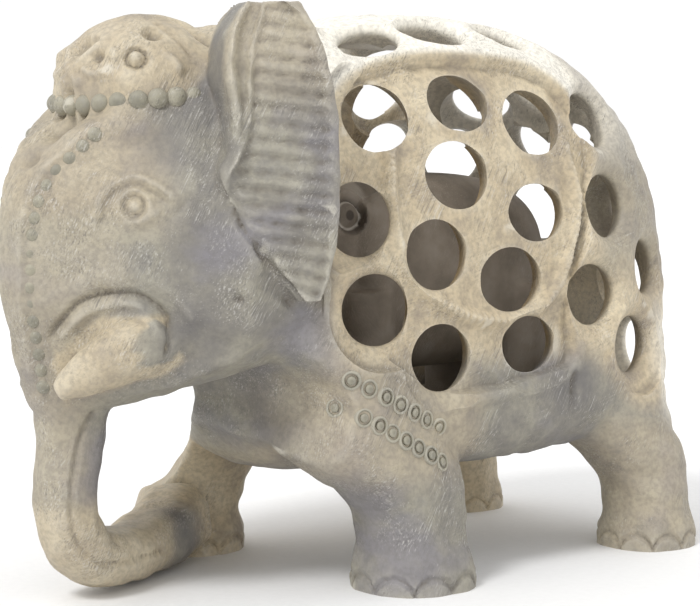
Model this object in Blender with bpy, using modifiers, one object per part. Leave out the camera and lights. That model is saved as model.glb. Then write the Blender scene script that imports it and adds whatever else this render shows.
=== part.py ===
# Soapstone elephant with an openwork body and a smaller elephant standing loose inside it.
# Metres, +Z up. The elephant faces -Y, its left side is +X, and it stands on z = 0.
import math

import bmesh
import bpy
import numpy as np
from mathutils import Vector

MM = 0.001

# Body, a rounded loaf: half sizes from the middle of its round, and how boxy it is
BODY_MIDDLE_Y = 8.0 * MM
BODY_MIDDLE_Z = 28.0 * MM
BODY_HALF_WIDTH = 25.0 * MM
BODY_FRONT = 33.0 * MM
BODY_REAR = 46.0 * MM
BODY_RISE = 47.5 * MM
BODY_DROP = 13.4 * MM
BODY_SIDE_POWER = 2.6
BODY_CROSS_POWER = 3.2
BELLY_CROSS_POWER = 5.0
BELLY_TURN = 0.45

# Hollow inside the body
SHELL_WALL = 4.2 * MM
FLOOR_THICKNESS = 5.5 * MM
HOLLOW_FRONT_Y = -18.5 * MM
HOLLOW_FRONT_WIDTH = 3.0 * MM
HOLLOW_CHEST_HEIGHT = 25.0 * MM
HOLLOW_FREE_HEIGHT = 36.0 * MM
HOLLOW_WIDEST_Z = 28.0 * MM
HOLLOW_UPPER_HEIGHTS = (44.0 * MM, 57.0 * MM, 66.5 * MM)
HOLLOW_CROWN_LIFT = 0.6
HOLLOW_CROWN_MARGIN = 1.0 * MM
HOLLOW_POWER = 4.0
HOLLOW_SIDES = 16

# Windows: two places on their side of the body, then half width and half height.
# The left flank, the right flank (cut by eye, a little differently) and the top hold (y, z) or (x, y);
# the rear holds (x, z).
LEFT_WINDOWS = (
    (-8.5, 61.9, 4.6, 4.7), (5.3, 63.9, 5.2, 4.0), (18.3, 61.3, 5.5, 4.6),
    (-13.0, 48.6, 4.3, 4.8), (3.0, 54.1, 5.4, 4.5), (17.1, 48.8, 5.3, 3.9),
    (-1.4, 43.7, 5.0, 4.6), (11.8, 39.9, 5.6, 4.3),
    (-11.2, 36.9, 4.7, 4.6), (-0.8, 30.2, 4.9, 4.4), (15.0, 31.0, 4.9, 3.8),
    (31.0, 61.7, 4.1, 4.1), (31.5, 49.4, 4.4, 4.4), (27.6, 37.1, 5.0, 4.2),
    (37.0, 29.5, 4.3, 4.0), (41.5, 40.4, 3.8, 3.8),
)
RIGHT_WINDOWS = (
    (-11.0, 61.9, 4.8, 4.7), (1.5, 63.4, 5.0, 4.2), (12.8, 60.5, 4.6, 4.6), (23.5, 66.2, 4.4, 4.2),
    (27.5, 56.8, 4.6, 4.6), (-13.0, 48.6, 4.6, 4.8), (2.0, 52.2, 5.0, 4.6), (17.1, 48.2, 5.0, 4.6),
    (-4.0, 41.7, 4.6, 4.4), (8.0, 38.6, 4.9, 4.6), (-13.0, 35.2, 4.4, 4.4), (-1.0, 29.2, 4.8, 4.4),
    (13.4, 28.6, 4.6, 4.0), (25.0, 28.6, 4.8, 4.2), (20.4, 38.4, 4.4, 4.2), (31.5, 46.6, 4.4, 4.4),
    (32.0, 36.4, 4.4, 4.2), (39.5, 56.2, 4.4, 4.6),
)
REAR_WINDOWS = ((10.0, 47.7, 4.5, 4.5), (10.6, 37.6, 4.4, 4.2), (10.4, 27.6, 4.2, 4.0),
                (5.4, 58.4, 4.2, 4.4), (11.8, 65.6, 4.4, 4.4), (0.0, 67.4, 4.2, 4.4))
TOP_WINDOWS = ((13.0, -4.4, 3.4, 4.2), (13.2, 6.8, 3.4, 5.2), (12.6, 20.2, 3.4, 4.4))
THROAT_INSET = 0.4 * MM
HOLE_TAPER = 0.3 * MM
DISH_WIDTH = 1.6 * MM
DISH_DEPTH = 1.5 * MM
DISH_OUTER_SHARE = 1.8
DISH_CLEARANCE = 4.0 * MM
HOLE_WALLS_DEEP = 2.5

# Legs: rings as height, middle x, middle y, half x, half y
FRONT_LEG = (
    (-1.0, 20.1, -2.6, 7.7, 7.9), (2.5, 20.1, -2.6, 7.8, 8.0), (6.0, 20.0, -2.8, 7.0, 7.1),
    (10.0, 19.8, -3.2, 6.9, 7.4), (13.0, 19.2, -4.2, 7.4, 8.6), (16.5, 17.6, -6.6, 8.6, 11.2),
    (19.0, 16.4, -8.4, 9.4, 12.6), (22.0, 15.2, -9.6, 10.2, 13.6), (27.5, 13.6, -10.2, 11.5, 14.2),
    (34.0, 13.0, -10.5, 11.9, 14.5), (42.0, 12.6, -10.5, 12.0, 14.5), (52.0, 12.0, -10.0, 10.5, 12.5),
)
FRONT_STEP = 7.8 * MM
REAR_LEG = (
    (-1.0, 20.1, 42.6, 6.7, 6.8), (2.0, 20.1, 42.6, 6.8, 6.9), (5.5, 20.0, 42.5, 5.9, 6.1),
    (10.0, 19.6, 42.0, 5.9, 6.4), (14.0, 18.6, 40.2, 6.8, 7.8), (18.0, 16.8, 37.8, 8.0, 9.4),
    (24.0, 14.2, 36.2, 9.6, 11.4), (34.0, 12.4, 35.0, 10.8, 12.0),
)
LEG_POWER = 2.3
STEP_FULL_HEIGHT = 6.0 * MM
STEP_FADE_HEIGHT = 25.0 * MM

# Head: rings as height, front y, back y, half width at the front, half width at the back
HEAD_RINGS = (
    (25.0, -47.8, -37.0, 1.6, 4.6), (28.5, -48.6, -28.0, 1.6, 13.0), (32.0, -49.2, -18.0, 1.8, 18.6),
    (36.0, -50.0, -13.0, 2.0, 21.6), (40.0, -50.6, -12.0, 2.4, 22.2), (46.0, -50.7, -12.0, 2.8, 22.4),
    (50.3, -50.2, -12.0, 3.2, 22.2), (54.4, -48.3, -12.0, 4.2, 21.8), (57.8, -45.2, -11.0, 6.2, 21.0),
    (60.5, -42.8, -10.0, 7.6, 20.4), (64.0, -38.6, -10.0, 8.0, 19.4), (68.0, -34.0, -9.0, 8.6, 17.4),
    (71.0, -29.0, -7.0, 8.2, 14.6), (73.0, -24.0, -4.0, 7.0, 10.5),
)
CHEEK_LENGTH = 20.0
CHEEK_SHARE = 0.62
CHEEK_POWER = 0.88
CHEEK_STEPS = 7
HEAD_BACK_SHARE = 0.96

# Chest: how far forward the stone may reach on the middle line at each height, and how
# much further back it stays for each millimetre out to the left and to the right
CHEST_LIMIT = ((9.0, -31.5), (11.8, -28.3), (15.3, -25.9), (19.2, -24.5), (25.0, -23.2), (28.0, -24.0),
               (33.0, -30.0), (40.0, -42.0))
CHEST_SLOPE_LEFT = 0.3
CHEST_SLOPE_RIGHT = 0.8
CHEST_MIDDLE = (0.0, -8.0, 25.0)
CHEST_HALF = (15.0, 14.0, 10.8)
CHEST_POWER = 2.6

# Trunk: path points as x, y, z and half width, half depth
TRUNK_PATH = (
    (0.0, -43.2, 32.0, 4.0, 5.8), (0.1, -42.6, 26.0, 3.9, 4.8), (0.2, -42.8, 20.0, 3.8, 4.1),
    (0.3, -43.6, 14.0, 3.8, 3.6), (0.0, -42.8, 9.2, 3.9, 3.7), (-1.0, -39.8, 5.6, 4.1, 3.7),
    (-2.8, -35.2, 4.6, 4.3, 3.7), (-6.0, -29.4, 4.2, 4.4, 3.7), (-10.4, -22.0, 4.8, 4.8, 4.4),
    (-14.4, -16.0, 6.0, 5.0, 5.0),
)
TRUNK_POWER = 2.8

# Tusks: path points as x, y, z and radius; the right one is cut closer to the trunk
LEFT_TUSK_PATH = ((10.6, -36.5, 34.6, 4.6), (11.4, -41.2, 33.4, 4.5), (9.6, -44.8, 30.8, 3.4),
                  (6.6, -48.6, 27.8, 1.2))
RIGHT_TUSK_PATH = ((-9.0, -34.5, 34.0, 3.6), (-8.6, -37.8, 32.4, 3.2), (-7.0, -40.6, 30.2, 2.3),
                   (-5.6, -42.8, 28.2, 1.2))

# Cap on the head and its bead row
CAP_MIDDLE = (0.0, -31.0, 63.0)
CAP_HALF = (12.0, 11.2, 11.4)
CAP_POWER = 2.15
CAP_BEAD_HALF = (12.1, 10.8)
CAP_BEAD_Z = 63.7 * MM
CAP_BEAD_SAG = 1.0 * MM
CAP_BEADS = 17
CAP_BEAD_FROM = math.radians(-8.0)
CAP_BEAD_TURN = math.radians(196.0)
CAP_BEAD_RADIUS = 1.35 * MM

# Bead rows
PANEL_BEAD_RADIUS = 1.1 * MM
PANEL_BEAD_PITCH = 2.4 * MM
PANEL_BEAD_SINK = 1.2 * MM
PANEL_BEAD_SPREAD = 0.35 * MM
PANEL_BEAD_FORWARD = 1.0
PANEL_BEAD_TOP_Z = 59.0 * MM
PANEL_BEAD_LOW_Z = 31.0 * MM
SHOULDER_BEAD_RADIUS = 1.25 * MM
SHOULDER_ROWS = (((-16.6, 28.5), (-2.2, 21.4), 7), ((-16.9, 24.8), (-2.6, 17.0), 8))
BEAD_PROFILE = ((1.2, -0.7), (0.6, 0.8))

# Ear: rings as height, front y, rear y, front x, rear x
EAR_RINGS = (
    (38.8, -24.4, -22.4, 24.0, 25.0), (42.6, -27.6, -21.3, 22.8, 25.8), (47.6, -31.0, -20.6, 21.6, 26.2),
    (53.0, -33.8, -20.3, 20.4, 26.4), (57.0, -32.6, -20.4, 20.2, 26.3), (61.0, -32.0, -20.5, 19.8, 26.2),
    (66.0, -32.4, -21.0, 19.2, 25.8), (70.5, -31.6, -22.2, 18.8, 25.0), (73.4, -30.0, -23.6, 18.6, 24.2),
    (75.2, -28.0, -25.6, 18.6, 23.2),
)
EAR_RIDGES = 10
EAR_RIDGE_HEIGHT = 0.45 * MM
EAR_RIDGES_FROM = 0.2
EAR_RIDGES_TO = 0.9
EAR_RIM_HEIGHT = 1.3 * MM
EAR_RIM_AT = 0.93
EAR_FOLD_HEIGHT = 1.2 * MM
EAR_FOLD_AT = 0.1
EAR_FOLD_WIDTH = 0.1
EAR_STEPS = (0.0, 0.1, 0.24, 0.55, 0.82, 0.93, 1.0)
EAR_DEPTH = 3.6 * MM
EAR_ROOT_IN = 7.0 * MM
EAR_ROOT_BACK = 2.5 * MM
RIGHT_EAR_MOVE = Vector((-0.5, 8.0, -1.6)) * MM

# Eye and brow
EYE_PLACE = (12.3, -40.8, 50.4)
EYE_RADIUS = 1.7 * MM
BROW_PATH = ((9.3, -44.7, 48.4), (9.8, -43.4, 52.0), (11.6, -40.8, 53.8), (13.6, -39.0, 53.0),
             (15.3, -37.6, 51.6))
BROW_RADIUS = 0.7 * MM

# Tail: path points as x, y, z and radius
TAIL_PATH = ((0.0, 51.0, 50.0, 1.5), (0.3, 52.6, 38.0, 1.9), (2.0, 52.4, 28.0, 2.0),
             (6.4, 50.6, 20.5, 2.1), (12.6, 51.2, 14.6, 3.0), (15.6, 52.0, 10.4, 4.3),
             (16.8, 50.0, 6.2, 2.4))

# Inner elephant: it stands on the floor of the hollow with a small gap
REST_GAP = 0.3 * MM
INNER_BODY_MIDDLE = (0.0, 14.0, 40.0)
INNER_BODY_HALF = (10.8, 23.0, 13.8)
INNER_BODY_POWER = 2.7
INNER_HEAD_MIDDLE = (0.0, -6.0, 45.0)
INNER_HEAD_HALF = (9.4, 9.6, 9.6)
INNER_LEG_PLACES = ((6.4, 0.0), (-6.4, 0.0), (6.4, 29.0), (-6.4, 29.0))
INNER_LEG_RADIUS = 4.4 * MM
INNER_LEG_TOP_Z = 38.0 * MM
INNER_TRUNK_PATH = ((0.0, -12.0, 43.0, 4.2), (0.0, -14.0, 36.0, 3.0), (0.0, -14.0, 29.0, 2.6),
                    (0.0, -11.5, 24.6, 2.4), (0.0, -7.5, 23.4, 2.2))
INNER_LEG_FLARE = 1.1
INNER_EAR_PLACE = (9.0, 1.5, 44.0)
INNER_EAR_HALF = (2.2, 4.6, 7.6)
INNER_EAR_POWER = 2.2
INNER_EYE_PLACE = (8.2, -9.0, 47.5)
INNER_EYE_RADIUS = 1.5 * MM
INNER_TAIL_PATH = ((0.0, 36.6, 47.0, 1.2), (0.0, 38.4, 38.0, 1.3), (0.0, 37.4, 29.0, 1.9))

# Fineness of the faceted model
FUSE_STEP = 0.8 * MM
INNER_FUSE_STEP = 0.7 * MM
OUTER_KEEP = 0.0144
INNER_KEEP = 0.024
SMOOTHING_ROUNDS = 4
BODY_SEGMENTS = 48
RING_POINTS = 28
WINDOW_SIDES = 8
BEAD_SIDES = 5
EYE_SEGMENTS = (10, 6)
SHARP_ANGLE = math.radians(35.0)
MERGE = 0.00002
GROUND_BLOCK = (0.2, 0.2, 0.02)
SEARCH_ROUNDS = 30
SLOPE_STEP = 0.1 * MM
AXES = (Vector((1.0, 0.0, 0.0)), Vector((0.0, 1.0, 0.0)), Vector((0.0, 0.0, 1.0)))

STONE_COLOUR = (0.60, 0.55, 0.42, 1.0)
INNER_STONE_COLOUR = (0.20, 0.19, 0.15, 1.0)
STONE_ROUGHNESS = 0.62
INNER_STONE_ROUGHNESS = 0.7


def millimetres(values):
    """A point or size given in millimetres as a vector in metres."""
    return Vector([value * MM for value in values])


def signed_power(value, power):
    """A power that keeps the sign of its base, for superellipses."""
    return math.copysign(abs(value) ** power, value)


def clear_scene():
    for item in list(bpy.data.objects):
        bpy.data.objects.remove(item, do_unlink=True)


def new_collection(name):
    group = bpy.data.collections.new(name)
    bpy.context.scene.collection.children.link(group)
    return group


def new_material(name, colour, roughness):
    material = bpy.data.materials.new(name)
    material.use_nodes = True
    shader = material.node_tree.nodes["Principled BSDF"]
    shader.inputs["Base Color"].default_value = colour
    shader.inputs["Roughness"].default_value = roughness
    shader.inputs["Metallic"].default_value = 0.0
    return material


def object_from_bmesh(name, shape, group):
    """A mesh object in the given collection, made from a finished bmesh."""
    bmesh.ops.recalc_face_normals(shape, faces=shape.faces)
    mesh = bpy.data.meshes.new(name)
    shape.to_mesh(mesh)
    shape.free()
    item = bpy.data.objects.new(name, mesh)
    group.objects.link(item)
    return item


def hide_as_cutter(item):
    item.hide_render = True
    item.display_type = 'WIRE'
    return item


def loft(name, rings, group):
    """A closed skin through rings of equally many points, capped at both ends."""
    shape = bmesh.new()
    rows = [[shape.verts.new(point) for point in ring] for ring in rings]
    for low, high in zip(rows, rows[1:]):
        for index in range(len(low)):
            after = (index + 1) % len(low)
            shape.faces.new((low[index], low[after], high[after], high[index]))
    shape.faces.new(rows[0])
    shape.faces.new(rows[-1])
    return object_from_bmesh(name, shape, group)


def oval_ring(middle, across, along, half_across, half_along, power, corners=RING_POINTS):
    """A superellipse around a middle point, in the plane of two unit directions."""
    ring = []
    for index in range(corners):
        angle = math.tau * index / corners
        u = signed_power(math.cos(angle), 2.0 / power) * half_across
        v = signed_power(math.sin(angle), 2.0 / power) * half_along
        ring.append(middle + across * u + along * v)
    return ring


def swept_form(name, path, power, group):
    """A tapering form along a path of (x, y, z, half width, half depth) in millimetres."""
    points = [millimetres(row[:3]) for row in path]
    rings = []
    for index, row in enumerate(path):
        before = points[max(index - 1, 0)]
        after = points[min(index + 1, len(points) - 1)]
        direction = (after - before).normalized()
        across = (AXES[0] - direction * AXES[0].dot(direction)).normalized()
        depth = direction.cross(across)
        half_width = row[3] * MM
        half_depth = row[-1] * MM
        rings.append(oval_ring(points[index], across, depth, half_width, half_depth, power))
    return loft(name, rings, group)


def tapered_tube(name, path, group, bevel_resolution=3, steps=3):
    """A round bar along (x, y, z, radius) points, from a bevelled curve turned into a mesh."""
    curve = bpy.data.curves.new(name, 'CURVE')
    curve.dimensions = '3D'
    curve.bevel_depth = 1.0
    curve.bevel_resolution = bevel_resolution
    curve.resolution_u = steps
    curve.use_fill_caps = True
    spline = curve.splines.new('NURBS')
    spline.points.add(len(path) - 1)
    for point, row in zip(spline.points, path):
        point.co = (row[0] * MM, row[1] * MM, row[2] * MM, 1.0)
        point.radius = row[3] * MM
    spline.use_endpoint_u = True
    spline.order_u = min(4, len(path))
    holder = bpy.data.objects.new(name + "_curve", curve)
    group.objects.link(holder)
    bpy.context.view_layer.update()
    evaluated = holder.evaluated_get(bpy.context.evaluated_depsgraph_get())
    mesh = bpy.data.meshes.new_from_object(evaluated)
    bpy.data.objects.remove(holder, do_unlink=True)
    shape = bmesh.new()
    shape.from_mesh(mesh)
    bmesh.ops.remove_doubles(shape, verts=shape.verts, dist=MERGE)
    return object_from_bmesh(name, shape, group)


def rounded_block(name, middle, half_sizes, power, group, segments=32, rings=20):
    """A UV sphere pushed out to a superellipsoid."""
    shape = bmesh.new()
    bmesh.ops.create_uvsphere(shape, u_segments=segments, v_segments=rings, radius=1.0)
    for vert in shape.verts:
        reach = sum(abs(value) ** power for value in vert.co) ** (1.0 / power)
        vert.co = middle + Vector([value / reach * half for value, half in zip(vert.co, half_sizes)])
    return object_from_bmesh(name, shape, group)


def body_reach(direction, inset):
    """How far the body's surface lies from its middle along a direction, less a wall."""
    x = abs(direction.x) / (BODY_HALF_WIDTH - inset)
    y = abs(direction.y) / ((BODY_REAR if direction.y > 0 else BODY_FRONT) - inset)
    z = abs(direction.z) / ((BODY_RISE if direction.z > 0 else BODY_DROP) - inset)
    downward = min(max(-direction.z / BELLY_TURN, 0.0), 1.0)
    power = BODY_CROSS_POWER + (BELLY_CROSS_POWER - BODY_CROSS_POWER) * downward
    side = (y ** BODY_SIDE_POWER + z ** BODY_SIDE_POWER) ** (power / BODY_SIDE_POWER)
    return (side + x ** power) ** (-1.0 / power)


def body_middle():
    return Vector((0.0, BODY_MIDDLE_Y, BODY_MIDDLE_Z))


def floor_z():
    return BODY_MIDDLE_Z - BODY_DROP + FLOOR_THICKNESS


def behind_chest(point):
    """The point itself, or moved back so that the gap behind the trunk stays open."""
    heights = [row[0] * MM for row in CHEST_LIMIT]
    if heights[0] <= point.z <= heights[-1]:
        limit = float(np.interp(point.z, heights, [row[1] * MM for row in CHEST_LIMIT]))
        slope = CHEST_SLOPE_LEFT if point.x > 0.0 else CHEST_SLOPE_RIGHT
        point.y = max(point.y, limit + slope * abs(point.x))
    return point


def body_form(group):
    shape = bmesh.new()
    bmesh.ops.create_uvsphere(shape, u_segments=BODY_SEGMENTS, v_segments=BODY_SEGMENTS, radius=1.0)
    for vert in shape.verts:
        direction = vert.co.normalized()
        vert.co = behind_chest(body_middle() + direction * body_reach(direction, 0.0))
    return object_from_bmesh("body_form", shape, group)


def surface_normal(point):
    """Outward direction of the body's surface near a point, from small steps."""
    def level(place):
        offset = place - body_middle()
        return offset.length / body_reach(offset.normalized(), 0.0)
    gradient = [level(point + axis * SLOPE_STEP) - level(point - axis * SLOPE_STEP) for axis in AXES]
    return Vector(gradient).normalized()


def flank_point(y, z):
    """The point of the body's left flank at a given y and z."""
    return point_past(AXES[0], Vector((0.0, y, z)))


def point_past(axis, start):
    """The body's surface straight out from a start point inside it, along one axis."""
    low = 0.0
    high = BODY_REAR + BODY_RISE
    for _ in range(SEARCH_ROUNDS):
        reach = (low + high) / 2.0
        offset = start + axis * reach - body_middle()
        if offset.length > body_reach(offset.normalized(), 0.0):
            high = reach
        else:
            low = reach
    return start + axis * low


def hollow_cutter(group):
    """The room inside the body, in level slices that keep the wall, with a flat floor."""
    rings = []
    crown = BODY_MIDDLE_Z + BODY_RISE
    lower_heights = (floor_z(), HOLLOW_CHEST_HEIGHT, HOLLOW_FREE_HEIGHT)
    for height in lower_heights + HOLLOW_UPPER_HEIGHTS + (crown - SHELL_WALL,):
        level = min(max(height + SHELL_WALL * HOLLOW_CROWN_LIFT, HOLLOW_WIDEST_Z), crown - HOLLOW_CROWN_MARGIN)
        half_x = flank_point(BODY_MIDDLE_Y, level).x - SHELL_WALL
        rear = point_past(AXES[1], Vector((0.0, BODY_MIDDLE_Y, level))).y - SHELL_WALL
        middle = Vector((0.0, (rear + HOLLOW_FRONT_Y) / 2.0, height))
        half_y = (rear - HOLLOW_FRONT_Y) / 2.0
        ring = oval_ring(middle, AXES[0], AXES[1], half_x, half_y, HOLLOW_POWER, HOLLOW_SIDES)
        share = (HOLLOW_FREE_HEIGHT - height) / (HOLLOW_FREE_HEIGHT - HOLLOW_CHEST_HEIGHT)
        share = min(max(share, 0.0), 1.0)
        for point in ring:
            slope = share * (CHEST_SLOPE_LEFT if point.x > 0.0 else CHEST_SLOPE_RIGHT)
            point.y = max(point.y, HOLLOW_FRONT_Y + slope * (abs(point.x) - HOLLOW_FRONT_WIDTH))
        rings.append(ring)
    return hide_as_cutter(loft("hollow_cutter", rings, group))


def window_places():
    """Every window as a surface point, its outward direction, half width and half height."""
    middle = body_middle()
    places = []
    for side, windows in ((1.0, LEFT_WINDOWS), (-1.0, RIGHT_WINDOWS)):
        for y, z, half_width, half_height in windows:
            point = flank_point(y * MM, z * MM)
            point.x *= side
            places.append((point, half_width * MM, half_height * MM))
    for side in (1.0, -1.0):
        for x, z, half_width, half_height in REAR_WINDOWS:
            if x > 0.0 or side > 0.0:
                point = point_past(AXES[1], Vector((side * x * MM, middle.y, z * MM)))
                places.append((point, half_width * MM, half_height * MM))
        for x, y, half_width, half_height in TOP_WINDOWS:
            point = point_past(AXES[2], Vector((side * x * MM, y * MM, middle.z)))
            places.append((point, half_width * MM, half_height * MM))
    return places


def plane_axes(normal):
    """Two unit directions square to a normal."""
    across = AXES[2] if abs(normal.z) < abs(normal.x) + abs(normal.y) else AXES[1]
    across = (across - normal * across.dot(normal)).normalized()
    return across, normal.cross(across)


def window_profile():
    """Steps out from the hole's edge, and heights above the surface, down one window's cutter."""
    return ((-THROAT_INSET - HOLE_TAPER, -HOLE_WALLS_DEEP * SHELL_WALL),
            (-THROAT_INSET, -DISH_DEPTH),
            (DISH_WIDTH, 0.0),
            (DISH_WIDTH * DISH_OUTER_SHARE, DISH_DEPTH),
            (DISH_WIDTH * DISH_OUTER_SHARE, DISH_CLEARANCE))


def window_cutters(group):
    """One scooped hole for each window; neighbouring dishes meet in sharp ridges."""
    for index, (point, half_width, half_height) in enumerate(window_places()):
        normal = surface_normal(point)
        upward, sideways = plane_axes(normal)
        rings = []
        for step_out, height in window_profile():
            middle = point + normal * height
            rings.append(oval_ring(middle, upward, sideways, half_height + step_out,
                                   half_width + step_out, 2.0, WINDOW_SIDES))
        hide_as_cutter(loft("window_%02d" % index, rings, group))


def chest_form(group):
    chest = rounded_block("chest", millimetres(CHEST_MIDDLE), [half * MM for half in CHEST_HALF],
                          CHEST_POWER, group)
    for vert in chest.data.vertices:
        vert.co = behind_chest(Vector(vert.co))
    return chest


def leg_form(name, rings, side, step, group):
    """A leg from sole to shoulder, its foot set forward by a step that fades out above."""
    loops = []
    for height, x, y, half_x, half_y in rings:
        fade = (STEP_FADE_HEIGHT - height * MM) / (STEP_FADE_HEIGHT - STEP_FULL_HEIGHT)
        fade = min(max(fade, 0.0), 1.0)
        middle = Vector((side * x * MM, y * MM - step * fade, height * MM))
        ring = oval_ring(middle, AXES[0], AXES[1], half_x * MM, half_y * MM, LEG_POWER)
        loops.append([behind_chest(point) for point in ring])
    return loft(name, loops, group)


def head_form(group):
    """The head as level slices: a narrow flat front, cheeks that widen, a straight back."""
    loops = []
    for height, front, back, half_front, half_back in HEAD_RINGS:
        cheek = min(CHEEK_LENGTH, (back - front) * CHEEK_SHARE)
        left = []
        for step in range(CHEEK_STEPS + 1):
            share = step / CHEEK_STEPS
            x = half_front + (half_back - half_front) * share ** CHEEK_POWER
            left.append((x, front + cheek * share))
        left.append((half_back * HEAD_BACK_SHARE, back))
        right = [(-x, y) for x, y in reversed(left)]
        loops.append([Vector((x, y, height)) * MM for x, y in left + right])
    return loft("head_form", loops, group)


def ear_value(height, column):
    return float(np.interp(height, [ring[0] for ring in EAR_RINGS], [ring[column] for ring in EAR_RINGS]))


def ear_profile(share, wave):
    """Height of the ear's face above its plane, from the front fold to the rear rim."""
    fold = EAR_FOLD_HEIGHT * math.exp(-((share - EAR_FOLD_AT) / EAR_FOLD_WIDTH) ** 2)
    rim = EAR_RIM_HEIGHT * math.exp(-((share - EAR_RIM_AT) / EAR_FOLD_WIDTH) ** 2)
    ridge = EAR_RIDGE_HEIGHT * wave if EAR_RIDGES_FROM < share < EAR_RIDGES_TO else 0.0
    return fold + rim + ridge


def ear_form(side, group):
    """An ear as a stack of level slices, with a rolled fold, ridges and a rim."""
    slices = EAR_RIDGES * 2
    low = EAR_RINGS[0][0]
    high = EAR_RINGS[-1][0]
    loops = []
    for index in range(slices + 1):
        height = low + (high - low) * index / slices
        front = Vector((ear_value(height, 3), ear_value(height, 1), height)) * MM
        rear = Vector((ear_value(height, 4), ear_value(height, 2), height)) * MM
        if side < 0:
            front += RIGHT_EAR_MOVE
            rear += RIGHT_EAR_MOVE
        outward = Vector((rear.y - front.y, front.x - rear.x, 0.0)).normalized()
        wave = 1.0 if index % 2 else 0.0
        face = [front.lerp(rear, share) + outward * ear_profile(share, wave) for share in EAR_STEPS]
        root = Vector((front.x - EAR_ROOT_IN, front.y + EAR_ROOT_BACK, front.z))
        back = [rear - outward * EAR_DEPTH, root]
        loops.append([Vector((point.x * side, point.y, point.z)) for point in face + back])
    return hide_as_cutter(loft("ear_%+d" % side, loops, group))


def head_front_edge(height):
    """Front edge of the forehead and trunk at a height, left half."""
    heights = [ring[0] for ring in HEAD_RINGS]
    y = float(np.interp(height, heights, [ring[1] for ring in HEAD_RINGS]))
    x = float(np.interp(height, heights, [ring[3] for ring in HEAD_RINGS]))
    return Vector((x * MM, y * MM, height * MM))


def add_bead(name, place, outward, radius, group):
    """A low domed bead whose foot is sunk in the stone."""
    across, along = plane_axes(outward.normalized())
    rings = []
    for share, height in BEAD_PROFILE:
        middle = place + outward.normalized() * (radius * height)
        ring = []
        for corner in range(BEAD_SIDES):
            angle = math.tau * corner / BEAD_SIDES
            ring.append(middle + (across * math.cos(angle) + along * math.sin(angle)) * (radius * share))
        rings.append(ring)
    hide_as_cutter(loft(name, rings, group))


def cap_beads(group):
    for index in range(CAP_BEADS):
        angle = CAP_BEAD_FROM + CAP_BEAD_TURN * index / (CAP_BEADS - 1)
        x = CAP_MIDDLE[0] + CAP_BEAD_HALF[0] * math.cos(angle)
        y = CAP_MIDDLE[1] - CAP_BEAD_HALF[1] * math.sin(angle)
        outward = Vector((math.cos(angle), -math.sin(angle), 0.0))
        place = Vector((x * MM, y * MM, CAP_BEAD_Z - CAP_BEAD_SAG * math.sin(angle) ** 2))
        add_bead("cap_bead_%02d" % index, place, outward, CAP_BEAD_RADIUS, group)


def panel_beads(group):
    """Bead rows down both edges of the forehead."""
    height = PANEL_BEAD_TOP_Z
    index = 0
    while height > PANEL_BEAD_LOW_Z:
        place = head_front_edge(height / MM)
        for side in (1.0, -1.0):
            spot = Vector(((place.x + PANEL_BEAD_SPREAD) * side, place.y + PANEL_BEAD_SINK, place.z))
            outward = Vector((side, -PANEL_BEAD_FORWARD, 0.0))
            add_bead("panel_bead_%02d_%+d" % (index, side), spot, outward, PANEL_BEAD_RADIUS, group)
        below = head_front_edge((height - PANEL_BEAD_PITCH) / MM)
        height -= PANEL_BEAD_PITCH ** 2 / (place - below).length
        index += 1


def skin_x(skin, y, z, side):
    """Where the fused skin lies on a line square to the elephant's middle plane."""
    start = Vector((side * 2.0 * BODY_HALF_WIDTH, y, z))
    found, place, _, _ = skin.ray_cast(start, Vector((-side, 0.0, 0.0)))
    return abs(place.x) if found else BODY_HALF_WIDTH


def shoulder_beads(skin, group):
    """Two slanting rows of drilled beads on each shoulder."""
    for row, (start, end, count) in enumerate(SHOULDER_ROWS):
        for index in range(count):
            share = index / (count - 1)
            y = start[0] + (end[0] - start[0]) * share
            z = start[1] + (end[1] - start[1]) * share
            for side in (1.0, -1.0):
                place = Vector((side * skin_x(skin, y * MM, z * MM, side), y * MM, z * MM))
                add_bead("shoulder_bead_%d_%d_%+d" % (row, index, side), place, Vector((side, 0.0, 0.0)),
                         SHOULDER_BEAD_RADIUS, group)


def face_details(group):
    """Eyes, brows and ears, which are set on the finished form."""
    for side in (1.0, -1.0):
        eye = millimetres(EYE_PLACE)
        eye.x *= side
        hide_as_cutter(rounded_block("eye_%+d" % side, eye, [EYE_RADIUS] * 3, 2.0, group, *EYE_SEGMENTS))
        brow = [(x * side, y, z, BROW_RADIUS / MM) for x, y, z in BROW_PATH]
        hide_as_cutter(tapered_tube("brow_%+d" % side, brow, group, 0, 1))
        ear_form(side, group)


def joined(name, items, group):
    """Several closed forms as one mesh, still overlapping."""
    shape = bmesh.new()
    for item in items:
        shape.from_mesh(item.data)
        bpy.data.objects.remove(item, do_unlink=True)
    return object_from_bmesh(name, shape, group)


def add_fusing(item, step, keep):
    """Fuses overlapping forms into one skin, softens the joins and thins the faces out."""
    remesh = item.modifiers.new("fuse", 'REMESH')
    remesh.mode = 'VOXEL'
    remesh.voxel_size = step
    smooth = item.modifiers.new("soften", 'SMOOTH')
    smooth.factor = 0.5
    smooth.iterations = SMOOTHING_ROUNDS
    thin = item.modifiers.new("thin", 'DECIMATE')
    thin.ratio = keep


def add_boolean(item, name, operation, cutter=None, group=None):
    boolean = item.modifiers.new(name, 'BOOLEAN')
    boolean.operation = operation
    boolean.solver = 'MANIFOLD'
    if group is not None:
        boolean.operand_type = 'COLLECTION'
        boolean.collection = group
    else:
        boolean.object = cutter


def ground_cutter(name, height, group):
    """A block under the feet, so that every sole is flat at the given height."""
    shape = bmesh.new()
    bmesh.ops.create_cube(shape, size=1.0)
    bmesh.ops.scale(shape, verts=shape.verts, vec=GROUND_BLOCK)
    bmesh.ops.translate(shape, verts=shape.verts, vec=(0.0, 0.0, height - GROUND_BLOCK[2] / 2.0))
    return hide_as_cutter(object_from_bmesh(name, shape, group))


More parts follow.
